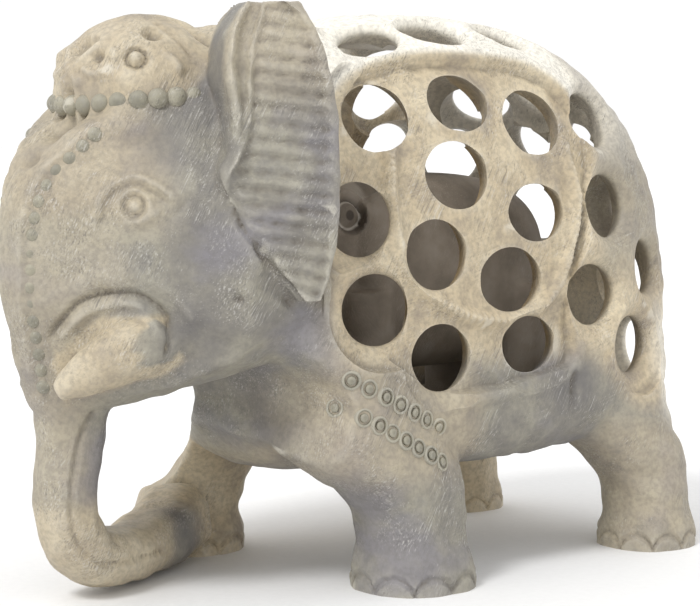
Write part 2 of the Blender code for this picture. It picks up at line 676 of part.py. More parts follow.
def outer_elephant(parts, forms, cuts):
    items = [body_form(forms), chest_form(forms), head_form(forms)]
    for side in (1.0, -1.0):
        step = FRONT_STEP if side < 0 else 0.0
        items.append(leg_form("front_leg_%+d" % side, FRONT_LEG, side, step, forms))
        items.append(leg_form("rear_leg_%+d" % side, REAR_LEG, side, 0.0, forms))
    items.append(tapered_tube("left_tusk", LEFT_TUSK_PATH, forms))
    items.append(tapered_tube("right_tusk", RIGHT_TUSK_PATH, forms))
    items.append(swept_form("trunk", TRUNK_PATH, TRUNK_POWER, forms))
    items.append(tapered_tube("tail", TAIL_PATH, forms))
    cap_half = [half * MM for half in CAP_HALF]
    items.append(rounded_block("cap", millimetres(CAP_MIDDLE), cap_half, CAP_POWER, forms))
    elephant = joined("elephant", items, parts)
    add_fusing(elephant, FUSE_STEP, OUTER_KEEP)
    add_boolean(elephant, "flat_soles", 'DIFFERENCE', cutter=ground_cutter("outer_ground", 0.0, cuts["shared"]))
    bpy.context.view_layer.update()
    skin = elephant.evaluated_get(bpy.context.evaluated_depsgraph_get())
    shoulder_beads(skin, cuts["details"])
    cap_beads(cuts["details"])
    panel_beads(cuts["details"])
    window_cutters(cuts["windows"])
    face_details(cuts["details"])
    add_boolean(elephant, "windows", 'DIFFERENCE', group=cuts["windows"])
    add_boolean(elephant, "hollow", 'DIFFERENCE', cutter=hollow_cutter(cuts["shared"]))
    add_boolean(elephant, "details", 'UNION', group=cuts["details"])
    return elephant


def inner_elephant(parts, forms, cuts):
    """The small elephant, solid, standing on the floor of the hollow."""
    floor = floor_z() + REST_GAP
    body_half = [half * MM for half in INNER_BODY_HALF]
    head_half = [half * MM for half in INNER_HEAD_HALF]
    items = [rounded_block("inner_body", millimetres(INNER_BODY_MIDDLE), body_half, INNER_BODY_POWER, forms),
             rounded_block("inner_head", millimetres(INNER_HEAD_MIDDLE), head_half, INNER_BODY_POWER, forms)]
    radius = INNER_LEG_RADIUS / MM
    for index, (x, y) in enumerate(INNER_LEG_PLACES):
        path = ((x, y, floor / MM - 1.0, radius), (x, y, floor / MM + 3.0, radius),
                (x, y, INNER_LEG_TOP_Z / MM, radius * INNER_LEG_FLARE))
        items.append(tapered_tube("inner_leg_%d" % index, path, forms))
    items.append(tapered_tube("inner_trunk", INNER_TRUNK_PATH, forms))
    items.append(tapered_tube("inner_tail", INNER_TAIL_PATH, forms))
    for side in (1.0, -1.0):
        ear = millimetres((INNER_EAR_PLACE[0] * side,) + INNER_EAR_PLACE[1:])
        ear_half = [half * MM for half in INNER_EAR_HALF]
        items.append(rounded_block("inner_ear", ear, ear_half, INNER_EAR_POWER, forms))
        eye = millimetres((INNER_EYE_PLACE[0] * side,) + INNER_EYE_PLACE[1:])
        items.append(rounded_block("inner_eye", eye, [INNER_EYE_RADIUS] * 3, 2.0, forms))
    small = joined("inner_elephant", items, parts)
    add_fusing(small, INNER_FUSE_STEP, INNER_KEEP)
    add_boolean(small, "flat_soles", 'DIFFERENCE', cutter=ground_cutter("inner_ground", floor, cuts["shared"]))
    return small


def finished(item, material):
    """The evaluated form as a plain mesh without crumbs, with its material."""
    bpy.context.view_layer.update()
    mesh = bpy.data.meshes.new_from_object(item.evaluated_get(bpy.context.evaluated_depsgraph_get()))
    item.modifiers.clear()
    shape = bmesh.new()
    shape.from_mesh(mesh)
    drop_crumbs(shape)
    bmesh.ops.triangulate(shape, faces=shape.faces)
    shape.to_mesh(item.data)
    shape.free()
    bpy.data.meshes.remove(mesh)
    item.data.materials.clear()
    item.data.materials.append(material)
    item.data.shade_smooth()
    item.data.set_sharp_from_angle(angle=SHARP_ANGLE)


def drop_crumbs(shape):
    """Keeps only the largest connected piece of stone."""
    left = set(shape.verts)
    pieces = []
    while left:
        start = left.pop()
        piece = {start}
        stack = [start]
        while stack:
            vert = stack.pop()
            for edge in vert.link_edges:
                other = edge.other_vert(vert)
                if other in left:
                    left.remove(other)
                    piece.add(other)
                    stack.append(other)
        pieces.append(piece)
    pieces.sort(key=len, reverse=True)
    for piece in pieces[1:]:
        bmesh.ops.delete(shape, geom=list(piece), context='VERTS')


def centre_on_ground(items):
    """Moves everything so that the middle of the outline in plan is the origin."""
    corners = [item.matrix_world @ vert.co for item in items for vert in item.data.vertices]
    middle_x = (max(c.x for c in corners) + min(c.x for c in corners)) / 2.0
    middle_y = (max(c.y for c in corners) + min(c.y for c in corners)) / 2.0
    for item in items:
        for vert in item.data.vertices:
            vert.co.x -= middle_x
            vert.co.y -= middle_y


def main():
    clear_scene()
    parts = new_collection("soapstone_elephant")
    forms = new_collection("forms")
    cuts = {name: new_collection("cutters_" + name) for name in ("shared", "windows", "details")}
    elephant = outer_elephant(parts, forms, cuts)
    small = inner_elephant(parts, forms, cuts)
    finished(elephant, new_material("soapstone", STONE_COLOUR, STONE_ROUGHNESS))
    finished(small, new_material("dark_soapstone", INNER_STONE_COLOUR, INNER_STONE_ROUGHNESS))
    centre_on_ground([elephant, small])


main()
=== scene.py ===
# Looks of the soapstone elephant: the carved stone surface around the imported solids, and the studio.
# Sizes are in millimetres in the body's own frame until a finished mesh is moved onto the CAD model.
import math

import bmesh
import bpy
import numpy as np
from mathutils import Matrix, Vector


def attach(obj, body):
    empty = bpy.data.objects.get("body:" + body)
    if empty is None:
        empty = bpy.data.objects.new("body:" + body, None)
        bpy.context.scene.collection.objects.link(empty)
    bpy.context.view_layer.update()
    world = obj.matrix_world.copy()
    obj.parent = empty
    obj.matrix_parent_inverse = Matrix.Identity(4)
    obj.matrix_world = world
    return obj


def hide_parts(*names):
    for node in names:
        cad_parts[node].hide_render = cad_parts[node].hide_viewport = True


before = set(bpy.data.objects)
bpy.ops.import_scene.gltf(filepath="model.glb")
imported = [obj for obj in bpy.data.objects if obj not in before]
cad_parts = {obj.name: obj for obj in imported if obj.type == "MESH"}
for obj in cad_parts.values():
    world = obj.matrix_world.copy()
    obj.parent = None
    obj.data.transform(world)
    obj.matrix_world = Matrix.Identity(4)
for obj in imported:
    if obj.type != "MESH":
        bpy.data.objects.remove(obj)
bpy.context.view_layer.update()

MM = 0.001
AXES = [Vector(row) for row in ((1, 0, 0), (0, 1, 0), (0, 0, 1))]

# From the body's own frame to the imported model's, which is centred on its outline
TO_CAD = Vector((-0.01, -2.15, 0.0))

# Camera: fitted to the four feet of the photograph
CAMERA_PLACE = Vector((222.9, -182.4, 58.8))
CAMERA_TURN = math.radians(50.2)
CAMERA_DOWN = math.radians(4.55)
CAMERA_LENS = 107.3
SENSOR_WIDTH = 36.0

# Body, a rounded loaf: half sizes from the middle of its round, and how boxy it is
BODY_MIDDLE = Vector((0.0, 8.0, 28.0))
BODY_HALF_WIDTH = 25.0
BODY_FRONT = 33.0
BODY_REAR = 46.0
BODY_RISE = 47.5
BODY_DROP = 13.4
BODY_SIDE_POWER = 2.6
BODY_CROSS_POWER = 3.2
BELLY_CROSS_POWER = 5.0
BELLY_TURN = 0.45

# Hollow inside the body
SHELL_WALL = 4.2
FLOOR_THICKNESS = 5.5
HOLLOW_FRONT_Y = -18.5
HOLLOW_FRONT_WIDTH = 3.0
HOLLOW_CHEST_HEIGHT = 25.0
HOLLOW_FREE_HEIGHT = 36.0
HOLLOW_WIDEST_Z = 28.0
HOLLOW_UPPER_HEIGHTS = (44.0, 52.0, 57.0, 62.0, 66.5, 69.5)
HOLLOW_CROWN_LIFT = 0.6
HOLLOW_CROWN_MARGIN = 1.0
HOLLOW_POWER = 4.0
HOLLOW_SIDES = 64

# Windows: two places on their side of the body, then half width and half height
LEFT_WINDOWS = (
    (-8.5, 61.9, 4.6, 4.7), (5.3, 63.9, 5.2, 4.0), (18.3, 61.3, 5.5, 4.6),
    (-13.0, 48.6, 4.3, 4.8), (3.0, 54.1, 5.4, 4.5), (17.1, 48.8, 5.3, 3.9),
    (-1.4, 43.7, 5.0, 4.6), (11.8, 39.9, 5.6, 4.3),
    (-11.2, 36.9, 4.7, 4.6), (-0.8, 30.2, 4.9, 4.4), (15.0, 31.0, 4.9, 3.8),
    (31.0, 61.7, 4.1, 4.1), (31.5, 49.4, 4.4, 4.4), (27.6, 37.1, 5.0, 4.2),
    (37.0, 29.5, 4.3, 4.0), (41.5, 40.4, 3.8, 3.8),
)
RIGHT_WINDOWS = (
    (-11.0, 61.9, 4.8, 4.7), (1.5, 63.4, 5.0, 4.2), (12.8, 60.5, 4.6, 4.6), (23.5, 66.2, 4.4, 4.2),
    (27.5, 56.8, 4.6, 4.6), (-13.0, 48.6, 4.6, 4.8), (2.0, 52.2, 5.0, 4.6), (17.1, 48.2, 5.0, 4.6),
    (-4.0, 41.7, 4.6, 4.4), (8.0, 38.6, 4.9, 4.6), (-13.0, 35.2, 4.4, 4.4), (-1.0, 29.2, 4.8, 4.4),
    (13.4, 28.6, 4.6, 4.0), (25.0, 28.6, 4.8, 4.2), (20.4, 38.4, 4.4, 4.2), (31.5, 46.6, 4.4, 4.4),
    (32.0, 36.4, 4.4, 4.2), (39.5, 56.2, 4.4, 4.6),
)
REAR_WINDOWS = ((10.0, 47.7, 4.5, 4.5), (10.6, 37.6, 4.4, 4.2), (10.4, 27.6, 4.2, 4.0),
                (5.4, 58.4, 4.2, 4.4), (11.8, 65.6, 4.4, 4.4), (0.0, 67.4, 4.2, 4.4))
TOP_WINDOWS = ((13.0, -4.4, 3.4, 4.2), (13.2, 6.8, 3.4, 5.2), (12.6, 20.2, 3.4, 4.4))
# Down a window: steps out from its rim and heights over the surface, from the room to the ridge
WINDOW_PROFILE = ((1.6, -10.5), (1.3, -4.6), (0.85, -3.4), (0.4, -2.6), (0.1, -2.1), (0.0, -1.7), (0.1, -1.3),
                  (0.4, -0.95), (0.8, -0.66), (1.4, -0.36), (2.1, -0.1), (2.8, 0.2), (3.2, 0.8), (3.5, 4.0))
WINDOW_SIDES = 40

# Legs: rings as height, middle x, middle y, half x, half y
FRONT_LEG = (
    (-1.0, 20.1, -2.6, 7.7, 7.9), (2.5, 20.1, -2.6, 7.8, 8.0), (6.0, 20.0, -2.8, 7.0, 7.1),
    (10.0, 19.8, -3.2, 6.9, 7.4), (13.0, 19.2, -4.2, 7.4, 8.6), (16.5, 17.6, -6.6, 8.6, 11.2),
    (19.0, 16.4, -8.4, 9.4, 12.6), (22.0, 15.2, -9.6, 10.2, 13.6), (27.5, 13.6, -10.2, 11.5, 14.2),
    (34.0, 13.0, -10.5, 11.9, 14.5), (42.0, 12.6, -10.5, 12.0, 14.5), (52.0, 12.0, -10.0, 10.5, 12.5),
)
FRONT_STEP = 7.8
REAR_LEG = (
    (-1.0, 20.1, 42.6, 6.7, 6.8), (2.0, 20.1, 42.6, 6.8, 6.9), (5.5, 20.0, 42.5, 5.9, 6.1),
    (10.0, 19.6, 42.0, 5.9, 6.4), (14.0, 18.6, 40.2, 6.8, 7.8), (18.0, 16.8, 37.8, 8.0, 9.4),
    (24.0, 14.2, 36.2, 9.6, 11.4), (34.0, 12.4, 35.0, 10.8, 12.0),
)
LEG_POWER = 2.3
STEP_FULL_HEIGHT = 6.0
STEP_FADE_HEIGHT = 25.0

# Head: rings as height, front y, back y, half width at the front, half width at the back
HEAD_RINGS = (
    (25.0, -47.8, -37.0, 1.6, 4.6), (28.5, -48.6, -28.0, 1.6, 13.0), (32.0, -49.2, -18.0, 1.8, 18.6),
    (36.0, -50.0, -13.0, 2.0, 21.6), (40.0, -50.6, -12.0, 2.4, 22.2), (46.0, -50.7, -12.0, 2.8, 22.4),
    (50.3, -50.2, -12.0, 3.2, 22.2), (54.4, -48.3, -12.0, 4.2, 21.8), (57.8, -45.2, -11.0, 6.2, 21.0),
    (60.5, -42.8, -10.0, 7.6, 20.4), (64.0, -38.6, -10.0, 8.0, 19.4), (68.0, -34.0, -9.0, 8.6, 17.4),
    (71.0, -29.0, -7.0, 8.2, 14.6), (73.0, -24.0, -4.0, 7.0, 10.5),
)
CHEEK_LENGTH = 20.0
CHEEK_SHARE = 0.62
CHEEK_POWER = 0.88
CHEEK_STEPS = 16
HEAD_BACK_SHARE = 0.96

# Chest: how far forward the stone may reach on the middle line at each height, and how
# much further back it stays for each millimetre out to the left and to the right
CHEST_LIMIT = ((9.0, -31.5), (11.8, -28.3), (15.3, -25.9), (19.2, -24.5), (25.0, -23.2), (28.0, -24.0),
               (33.0, -30.0), (40.0, -42.0))
CHEST_SLOPE_LEFT = 0.3
CHEST_SLOPE_RIGHT = 0.8
CHEST_MIDDLE = (0.0, -8.0, 25.0)
CHEST_HALF = (15.0, 14.0, 10.8)
CHEST_POWER = 2.6

# Trunk: path points as x, y, z and half width, half depth
TRUNK_PATH = (
    (0.0, -43.2, 32.0, 4.0, 5.8), (0.1, -42.6, 26.0, 3.9, 4.8), (0.2, -42.8, 20.0, 3.8, 4.1),
    (0.3, -43.6, 14.0, 3.8, 3.6), (0.0, -42.8, 9.2, 3.9, 3.7), (-1.0, -39.8, 5.6, 4.1, 3.7),
    (-2.8, -35.2, 4.6, 4.3, 3.7), (-6.0, -29.4, 4.2, 4.4, 3.7), (-10.4, -22.0, 4.8, 4.8, 4.4),
    (-14.4, -16.0, 6.0, 5.0, 5.0),
)
TRUNK_POWER = 2.8

# Tusks: path points as x, y, z and radius
LEFT_TUSK_PATH = ((10.6, -36.5, 34.6, 4.6), (11.4, -41.2, 33.4, 4.5), (9.6, -44.8, 30.8, 3.4),
                  (6.6, -48.6, 27.8, 1.2))
RIGHT_TUSK_PATH = ((-9.0, -34.5, 34.0, 3.6), (-8.6, -37.8, 32.4, 3.2), (-7.0, -40.6, 30.2, 2.3),
                   (-5.6, -42.8, 28.2, 1.2))

# Cap on the head and its bead row
CAP_MIDDLE = Vector((0.0, -31.0, 63.0))
CAP_HALF = (12.0, 11.2, 11.4)
CAP_POWER = 2.15
CAP_BEAD_HALF = (12.0, 10.6)
CAP_BEAD_Z = 63.7
CAP_BEAD_SAG = 1.0
CAP_BEADS = 17
CAP_BEAD_FROM = math.radians(-8.0)
CAP_BEAD_TURN = math.radians(196.0)
CAP_BEAD_RADIUS = 1.35

# Bead rows
PANEL_BEAD_RADIUS = 1.05
PANEL_BEAD_PITCH = 2.1
PANEL_BEAD_TOP_Z = 59.0
PANEL_BEAD_LOW_Z = 27.0
PANEL_BEAD_SINK = 1.1
PANEL_BEAD_SPREAD = 0.35
SHOULDER_BEAD_RADIUS = 1.3
SHOULDER_BEAD_SINK = 0.2
SHOULDER_ROWS = (((-16.6, 28.5), (-2.2, 21.4), 7), ((-16.9, 24.8), (-2.6, 17.0), 8))
BEAD_SIDES = 20
ROUND_BEAD = ((0.98, -0.7), (1.0, 0.0), (0.95, 0.3), (0.82, 0.55), (0.6, 0.78), (0.35, 0.92), (0.12, 0.98))
DRILLED_BEAD = ((1.0, -0.7), (1.0, 0.12), (0.93, 0.3), (0.8, 0.36), (0.68, 0.3), (0.6, 0.02), (0.5, 0.02),
                (0.43, 0.32), (0.3, 0.42), (0.12, 0.46))

# Ear: rings as height, front y, rear y, front x, rear x
EAR_RINGS = (
    (38.8, -24.4, -22.4, 24.0, 25.0), (42.6, -27.6, -21.3, 22.8, 25.8), (47.6, -31.0, -20.6, 21.6, 26.2),
    (53.0, -33.8, -20.3, 20.4, 26.4), (57.0, -32.6, -20.4, 20.2, 26.3), (61.0, -32.0, -20.5, 19.8, 26.2),
    (66.0, -32.4, -21.0, 19.2, 25.8), (70.5, -31.6, -22.2, 18.8, 25.0), (73.4, -30.0, -23.6, 18.6, 24.2),
    (75.2, -28.0, -25.6, 18.6, 23.2),
)
EAR_RIDGES = 18
EAR_RIDGE_HEIGHT = 0.7
EAR_RIDGE_TILT = 0.8
EAR_RIDGE_POWER = 0.6
EAR_RIDGE_GAP = 0.04
EAR_RIDGE_FADE = 0.05
EAR_RIM_HEIGHT = 1.0
EAR_RIM_AT = 0.96
EAR_RIM_WIDTH = 0.06
EAR_ROLL_HEIGHT = 1.5
EAR_ROLL_AT = 0.06
EAR_ROLL_WIDTH = 0.06
EAR_ROLL_FADE = (51.0, 56.0)
EAR_FOLD_HEIGHT = 1.0
EAR_FOLD_WIDTH = 0.035
EAR_FOLD_PLACES = ((54.0, 0.03), (58.0, 0.13), (63.0, 0.20), (70.0, 0.28), (74.0, 0.38))
EAR_DEPTH = 3.6
EAR_ROOT_IN = 7.0
EAR_ROOT_BACK = 2.5
RIGHT_EAR_MOVE = Vector((-0.5, 8.0, -1.6))
EAR_COLUMNS = 40
EAR_SLICES = 180

# Eye and brow; rings around a spot are radius, height (cut where negative), width
EYE_PLACE = (12.3, -40.8, 50.4)
EYE_RINGS = ((0.0, 0.3, 0.5), (1.25, -0.35, 0.35), (2.0, 0.2, 0.35))
BROW_PATH = ((9.3, -44.7, 48.4), (9.8, -43.4, 52.0), (11.6, -40.8, 53.8), (13.6, -39.0, 53.0),
             (15.3, -37.6, 51.6))
BROW_HEIGHT = 0.45
BROW_WIDTH = 0.6
BROW_CUT = 0.35
BROW_CUT_SHARE = 0.8

# Carved lines on the head and trunk: points, height (cut where negative), width
LIP_LINES = (
    (((4.4, -48.2, 34.0), (5.2, -47.4, 35.9), (8.2, -45.4, 39.1), (12.2, -41.5, 39.9), (14.4, -38.7, 37.9),
      (15.0, -37.7, 35.2), (15.2, -38.0, 32.6)), -0.75, 0.5),
    (((5.4, -46.9, 34.6), (8.4, -44.9, 37.6), (12.0, -41.6, 38.5), (14.0, -39.8, 36.8), (14.6, -39.4, 34.6)),
     0.45, 0.55),
    (((3.0, -49.9, 38.2), (5.0, -48.0, 39.6), (8.6, -45.2, 41.4), (12.4, -41.4, 41.9), (15.6, -37.8, 40.2),
      (17.2, -36.0, 36.8)), 0.35, 0.9),
)
TRUNK_LINES = (
    (((4.1, -41.9, 24.3), (4.1, -43.6, 21.3), (4.1, -44.8, 16.4), (4.1, -45.1, 12.0), (4.0, -43.9, 8.1),
      (3.4, -41.1, 5.4), (1.7, -35.6, 4.7), (-2.0, -27.6, 4.4)), -0.5, 0.45),
)
CHEEK_LINES = (
    (((20.0, -34.4, 53.4), (21.6, -31.2, 47.6), (22.9, -27.8, 42.6), (24.0, -24.6, 38.9)), -0.8, 0.5),
    (((20.2, -31.0, 43.4), (21.2, -27.6, 40.6), (22.2, -22.6, 37.0)), -0.5, 0.5),
    (((20.8, -31.6, 39.2), (20.9, -31.2, 39.1)), -0.8, 0.5),
    (((13.0, -40.4, 47.3), (15.4, -37.8, 48.8), (17.0, -36.2, 51.4)), -0.3, 0.45),
    (((10.4, -42.8, 49.0), (11.6, -41.8, 48.3), (13.2, -40.4, 48.5), (14.6, -39.2, 49.8)), 0.3, 0.4),
)
CAP_LINES = (
    (((2.2, -40.6, 70.6), (3.6, -40.3, 71.0), (5.6, -39.6, 69.8), (6.0, -39.4, 67.6), (4.4, -40.8, 66.4),
      (2.6, -41.6, 67.2)), 0.75, 0.6),
    (((-2.6, -40.2, 70.2), (-1.0, -41.4, 67.4), (1.6, -42.0, 65.8)), 0.6, 0.7),
    (((9.6, -36.2, 71.0), (10.4, -34.6, 69.4), (11.0, -33.4, 67.2)), 0.7, 0.7),
    (((4.0, -29.0, 74.0), (7.2, -28.0, 72.4), (10.0, -27.0, 69.6), (12.0, -26.0, 66.0)), -1.3, 0.9),
    (((6.2, -33.0, 73.2), (8.8, -32.0, 71.6), (10.8, -31.0, 69.0)), -0.6, 0.5),
)
# Drilled and scooped spots: place, radius, depth
SCOOPS = (
    ((0.8, -39.9, 70.4), 1.5, 1.3), ((3.9, -40.6, 68.8), 0.9, 0.9), ((7.4, -34.6, 72.0), 1.3, 1.2),
    ((0.0, -43.6, 59.8), 2.3, 1.5), ((2.6, -42.8, 62.4), 1.3, 1.0), ((-2.6, -42.8, 62.4), 1.3, 1.0),
    ((0.0, -42.4, 64.0), 1.0, 0.9), ((0.0, -47.4, 55.6), 1.4, 0.7),
)
BOSS_PLACE = (8.3, -37.8, 68.6)
BOSS_RINGS = ((0.0, 0.7, 0.625), (1.25, -0.6, 0.35))

# Flank panel with the lattice: its outline as (y, z), and the bold arc across it
PANEL_OUTLINE = (
    (-19.0, 38.0), (-19.5, 50.0), (-18.0, 58.0), (-13.3, 63.8), (-9.0, 67.0), (-3.0, 69.0), (5.0, 69.6),
    (14.0, 69.2), (20.2, 68.2), (25.0, 65.4), (28.3, 61.0), (28.6, 55.0), (27.0, 48.0), (24.8, 41.5),
    (22.6, 35.0), (22.9, 28.6), (18.0, 26.6), (8.0, 25.4), (-1.4, 25.2), (-6.0, 27.6), (-13.0, 32.0),
)
PANEL_FROM = (12.5, -20.0, 20.0)
PANEL_RECESS = 1.5
PANEL_EDGE = 0.7
BORDER_HEIGHT = 0.45
BORDER_WIDTH = 0.8
STRIP_HEIGHT = 0.6
STRIP_SIDE = 0.4
STRIP_EDGE = 0.8
STRIP_DEPTH = 3.0
STRIP_LOW = 28.0
STRIP_TOP = 61.0
STRIP_FADE = 3.0
ARC_PATH = ((21.5, -7.4, 60.0), (22.9, -8.2, 51.5), (23.9, -7.4, 44.5), (24.7, -3.4, 39.0), (25.0, 6.0, 34.9),
            (24.9, 17.4, 36.4), (24.5, 22.4, 42.6), (23.8, 24.6, 50.2), (22.0, 24.0, 57.5))
ARC_HEIGHT = 1.5
ARC_WIDTH = 1.0
BELLY_LINES = (
    (((25.0, 22.6, 26.4), (25.0, 22.4, 18.0)), -0.7, 0.6),
    (((25.0, -1.0, 16.4), (25.0, 10.0, 15.6), (25.0, 21.0, 16.6)), 0.3, 0.9),
)
NAIL_TOP = 2.3
NAIL_COUNT = 9
NAIL_CUT = 0.35
NAIL_WIDTH = 0.4
NAIL_REACH = 1.4
WAVE_SEED = 11
WAVE_COUNT = 14
WAVE_TIGHTNESS = (0.7, 2.2)
WAVE_HEIGHT = 0.035
STROKE_REACH = 3.0
FAR = 99.0

# Tail: path points as x, y, z and radius
TAIL_PATH = ((0.0, 51.0, 50.0, 1.5), (0.3, 52.6, 38.0, 1.9), (2.0, 52.4, 28.0, 2.0),
             (6.4, 50.6, 20.5, 2.1), (12.6, 51.2, 14.6, 3.0), (15.6, 52.0, 10.4, 4.3),
             (16.8, 50.0, 6.2, 2.4))

# Inner elephant
REST_GAP = 0.3
INNER_BODY_MIDDLE = Vector((0.0, 14.0, 40.0))
INNER_BODY_HALF = (10.8, 23.0, 13.8)
INNER_BODY_POWER = 2.7
INNER_HEAD_MIDDLE = Vector((0.0, -6.0, 45.0))
INNER_HEAD_HALF = (9.4, 9.6, 9.6)
INNER_LEG_PLACES = ((6.4, 0.0), (-6.4, 0.0), (6.4, 29.0), (-6.4, 29.0))
INNER_LEG_RADIUS = 4.4
INNER_LEG_TOP_Z = 38.0
INNER_LEG_FLARE = 1.1
INNER_LEG_SUNK = 1.0
INNER_FOOT_HEIGHT = 3.0
INNER_TRUNK_PATH = ((0.0, -12.0, 43.0, 4.2), (0.0, -14.0, 36.0, 3.0), (0.0, -14.0, 29.0, 2.6),
                    (0.0, -11.5, 24.6, 2.4), (0.0, -7.5, 23.4, 2.2))
INNER_EAR_PLACE = (9.0, 1.5, 44.0)
INNER_EAR_HALF = (2.2, 4.6, 7.6)
INNER_EAR_POWER = 2.2
INNER_EYE_PLACE = (8.0, -4.4, 48.4)
INNER_EYE_RADIUS = 1.5
INNER_EYE_RINGS = ((3.1, 0.4, 0.45), (2.3, -0.6, 0.4))
INNER_TAIL_PATH = ((0.0, 36.6, 47.0, 1.2), (0.0, 38.4, 38.0, 1.3), (0.0, 37.4, 29.0, 1.9))

# File marks: lines to a metre across and along them; then degrees from upright, patches, shift
STREAK_FINE = 5000.0
STREAK_LONG = 130.0
STREAK_LEAN = 0.2
STREAKS = ((8, 60.0, 0.0), (-42, 80.0, 0.3), (75, 110.0, 1.3), (30, 140.0, 2.3))

# The inner elephant's eye: its pupil's place, and how dark and how pale it is out to the reach
INNER_EYE_PUPIL = (9.3, -4.4, 48.4)
INNER_EYE_REACH = 4.0
INNER_EYE_DARK = ((0.15, 0.85), (0.20, 0.25), (0.42, 0.25), (0.47, 0.0), (0.55, 0.7), (0.72, 0.0))
INNER_EYE_PALE = ((0.42, 0.0), (0.48, 0.8), (0.54, 0.0))

# Painted patches: strength, then fades as axis (3 is the distance from the middle plane), start
# and width, which is negative where the patch lies below the start
LATTICE_LOW = 27.0
LATTICE_DROP = (9.0, (1, 24.0, 14.0))
LATTICE_FRONT = (1.0, (1, -20.0, 4.0))
LATTICE_FADE = 5.0
REAR_GREY = (0.6, (1, 27.0, 4.0), (2, 36.0, 8.0))
RAIL_TONE = (1.0, (2, 52.0, 10.0))
# Painted fill light on the hind, which faces away from the key light and lies in shade
HIND_FILL_LIGHT = (0.6, (1, 40.0, 5.0), (2, 38.0, -8.0), (2, 16.0, 5.0))
# Cream patches of the stone, and painted fill light: the low trunk, far legs, hind legs and shoulder are made
# paler because they lie in shade
CREAM_AND_FILL_PATCHES = {
    "face": (0.6, (1, -35.0, -6.0), (2, 44.0, 8.0)),
    "cap": (0.8, (1, -19.0, -2.0), (2, 62.0, 2.0), (3, 13.0, -1.5)),
    "trunk": (0.35, (1, -40.0, -4.0)),
    # Painted fill light on the low trunk, far legs and hind legs, which lie in shade
    "low trunk": (0.75, (1, -22.0, -4.0), (2, 16.0, -5.0)),
    "far legs": (1.0, (2, 22.0, -5.0), (0, -6.0, -3.0)),
    "hind legs": (0.45, (2, 22.0, -5.0), (1, 28.0, 4.0)),
    "ears": (0.45, (3, 17.5, 1.5), (2, 58.0, 14.0)),
    # Painted fill light on the shoulder, which lies in shade
    "shoulder": (0.5, (1, -22.0, 5.0), (1, 8.0, -5.0), (2, 12.0, 6.0)),
}
# Painted by distance: strength, reach, width of the fade
TUFT_TONE = (0.8, 7.0, 1.5)
TUSK_TONE = (0.8, 5.4, 0.8)
TUSK_BELOW = (1.0, (2, 37.6, -1.0))
DEPTH_STRETCH = 1.4
DEEP_FROM = 2.8
DEEP_FADE = 3.0

# Studio
FLOOR_HALF = 8.0
SUN_POWER = 1.5
SUN_WIDTH = math.radians(14)
SUN_FROM = Vector((0.25, -0.75, 0.85))
WORLD_POWER = 1.02

# Fineness
RING_POINTS = 72
BODY_SEGMENTS = (160, 120)
TUBE_STEPS = 8
TRUNK_STEPS = 6
LEG_STEPS = 5
HEAD_STEPS = 4
EAR_STEPS = 8
LINE_STEPS = 10
OUTLINE_STEPS = 5
SEARCH_ROUNDS = 30
SKIN_STEP = 0.32
FORMS_COARSER = 1.5
INNER_STEP = 0.5
SKIN_TRIANGLES = 120000
INNER_TRIANGLES = 24000
SOFTENING = 5
INNER_SOFTENING = 3
MERGE = 0.02
GROUND_BLOCK = (200.0, 200.0, 20.0)
SHARP_ANGLE = math.radians(38)


def signed_power(value, power):
    """A power that keeps the sign of its base, for superellipses."""
    return math.copysign(abs(value) ** power, value)


def eased(value):
    """A smooth step from 0 to 1, for numbers and arrays."""
    value = np.clip(value, 0.0, 1.0)
    return value * value * (3.0 - 2.0 * value)


def clamped(value):
    return min(max(value, 0.0), 1.0)


def hump(distance, width):
    """How high a rounded ridge stands at each distance from its line, as a share."""
    return np.exp(-(distance / width) ** 2)


def at_height(height, rows, column):
    """A column of a table, read between the heights in its first column."""
    return np.interp(height, [row[0] for row in rows], [row[column] for row in rows])


def new_object(name, data):
    item = bpy.data.objects.new(name, data)
    bpy.context.scene.collection.objects.link(item)
    return item


def object_from_bmesh(name, shape):
    bmesh.ops.recalc_face_normals(shape, faces=shape.faces)
    mesh = bpy.data.meshes.new(name)
    shape.to_mesh(mesh)
    shape.free()
    return new_object(name, mesh)


def add_skin(shape, rings):
    """A closed skin through rings of equally many points, capped at both ends."""
    rows = [[shape.verts.new(point) for point in ring] for ring in rings]
    for low, high in zip(rows, rows[1:]):
        for index in range(len(low)):
            after = (index + 1) % len(low)
            shape.faces.new((low[index], low[after], high[after], high[index]))
    shape.faces.new(rows[0])
    shape.faces.new(rows[-1])


def loft(name, rings):
    shape = bmesh.new()
    add_skin(shape, rings)
    return object_from_bmesh(name, shape)


def oval_ring(middle, across, along, half_across, half_along, power, corners=RING_POINTS):
    """A superellipse around a middle point, in the plane of two unit directions."""
    ring = []
    for index in range(corners):
        angle = math.tau * index / corners
        u = signed_power(math.cos(angle), 2.0 / power) * half_across
        v = signed_power(math.sin(angle), 2.0 / power) * half_along
        ring.append(middle + across * u + along * v)
    return ring


def smooth_rows(rows, steps):
    """Rows of numbers with in-between rows on a smooth curve through the given ones."""
    table = np.array(rows, float)
    padded = np.vstack([2 * table[0] - table[1], table, 2 * table[-1] - table[-2]])
    out = []
    for index in range(1, len(padded) - 2):
        a, b, c, d = padded[index - 1:index + 3]
        for step in range(steps):
            t = step / steps
            out.append(0.5 * (2 * b + (c - a) * t + (2 * a - 5 * b + 4 * c - d) * t * t
                              + (3 * b - a - 3 * c + d) * t ** 3))
    out.append(table[-1])
    return [tuple(row) for row in out]


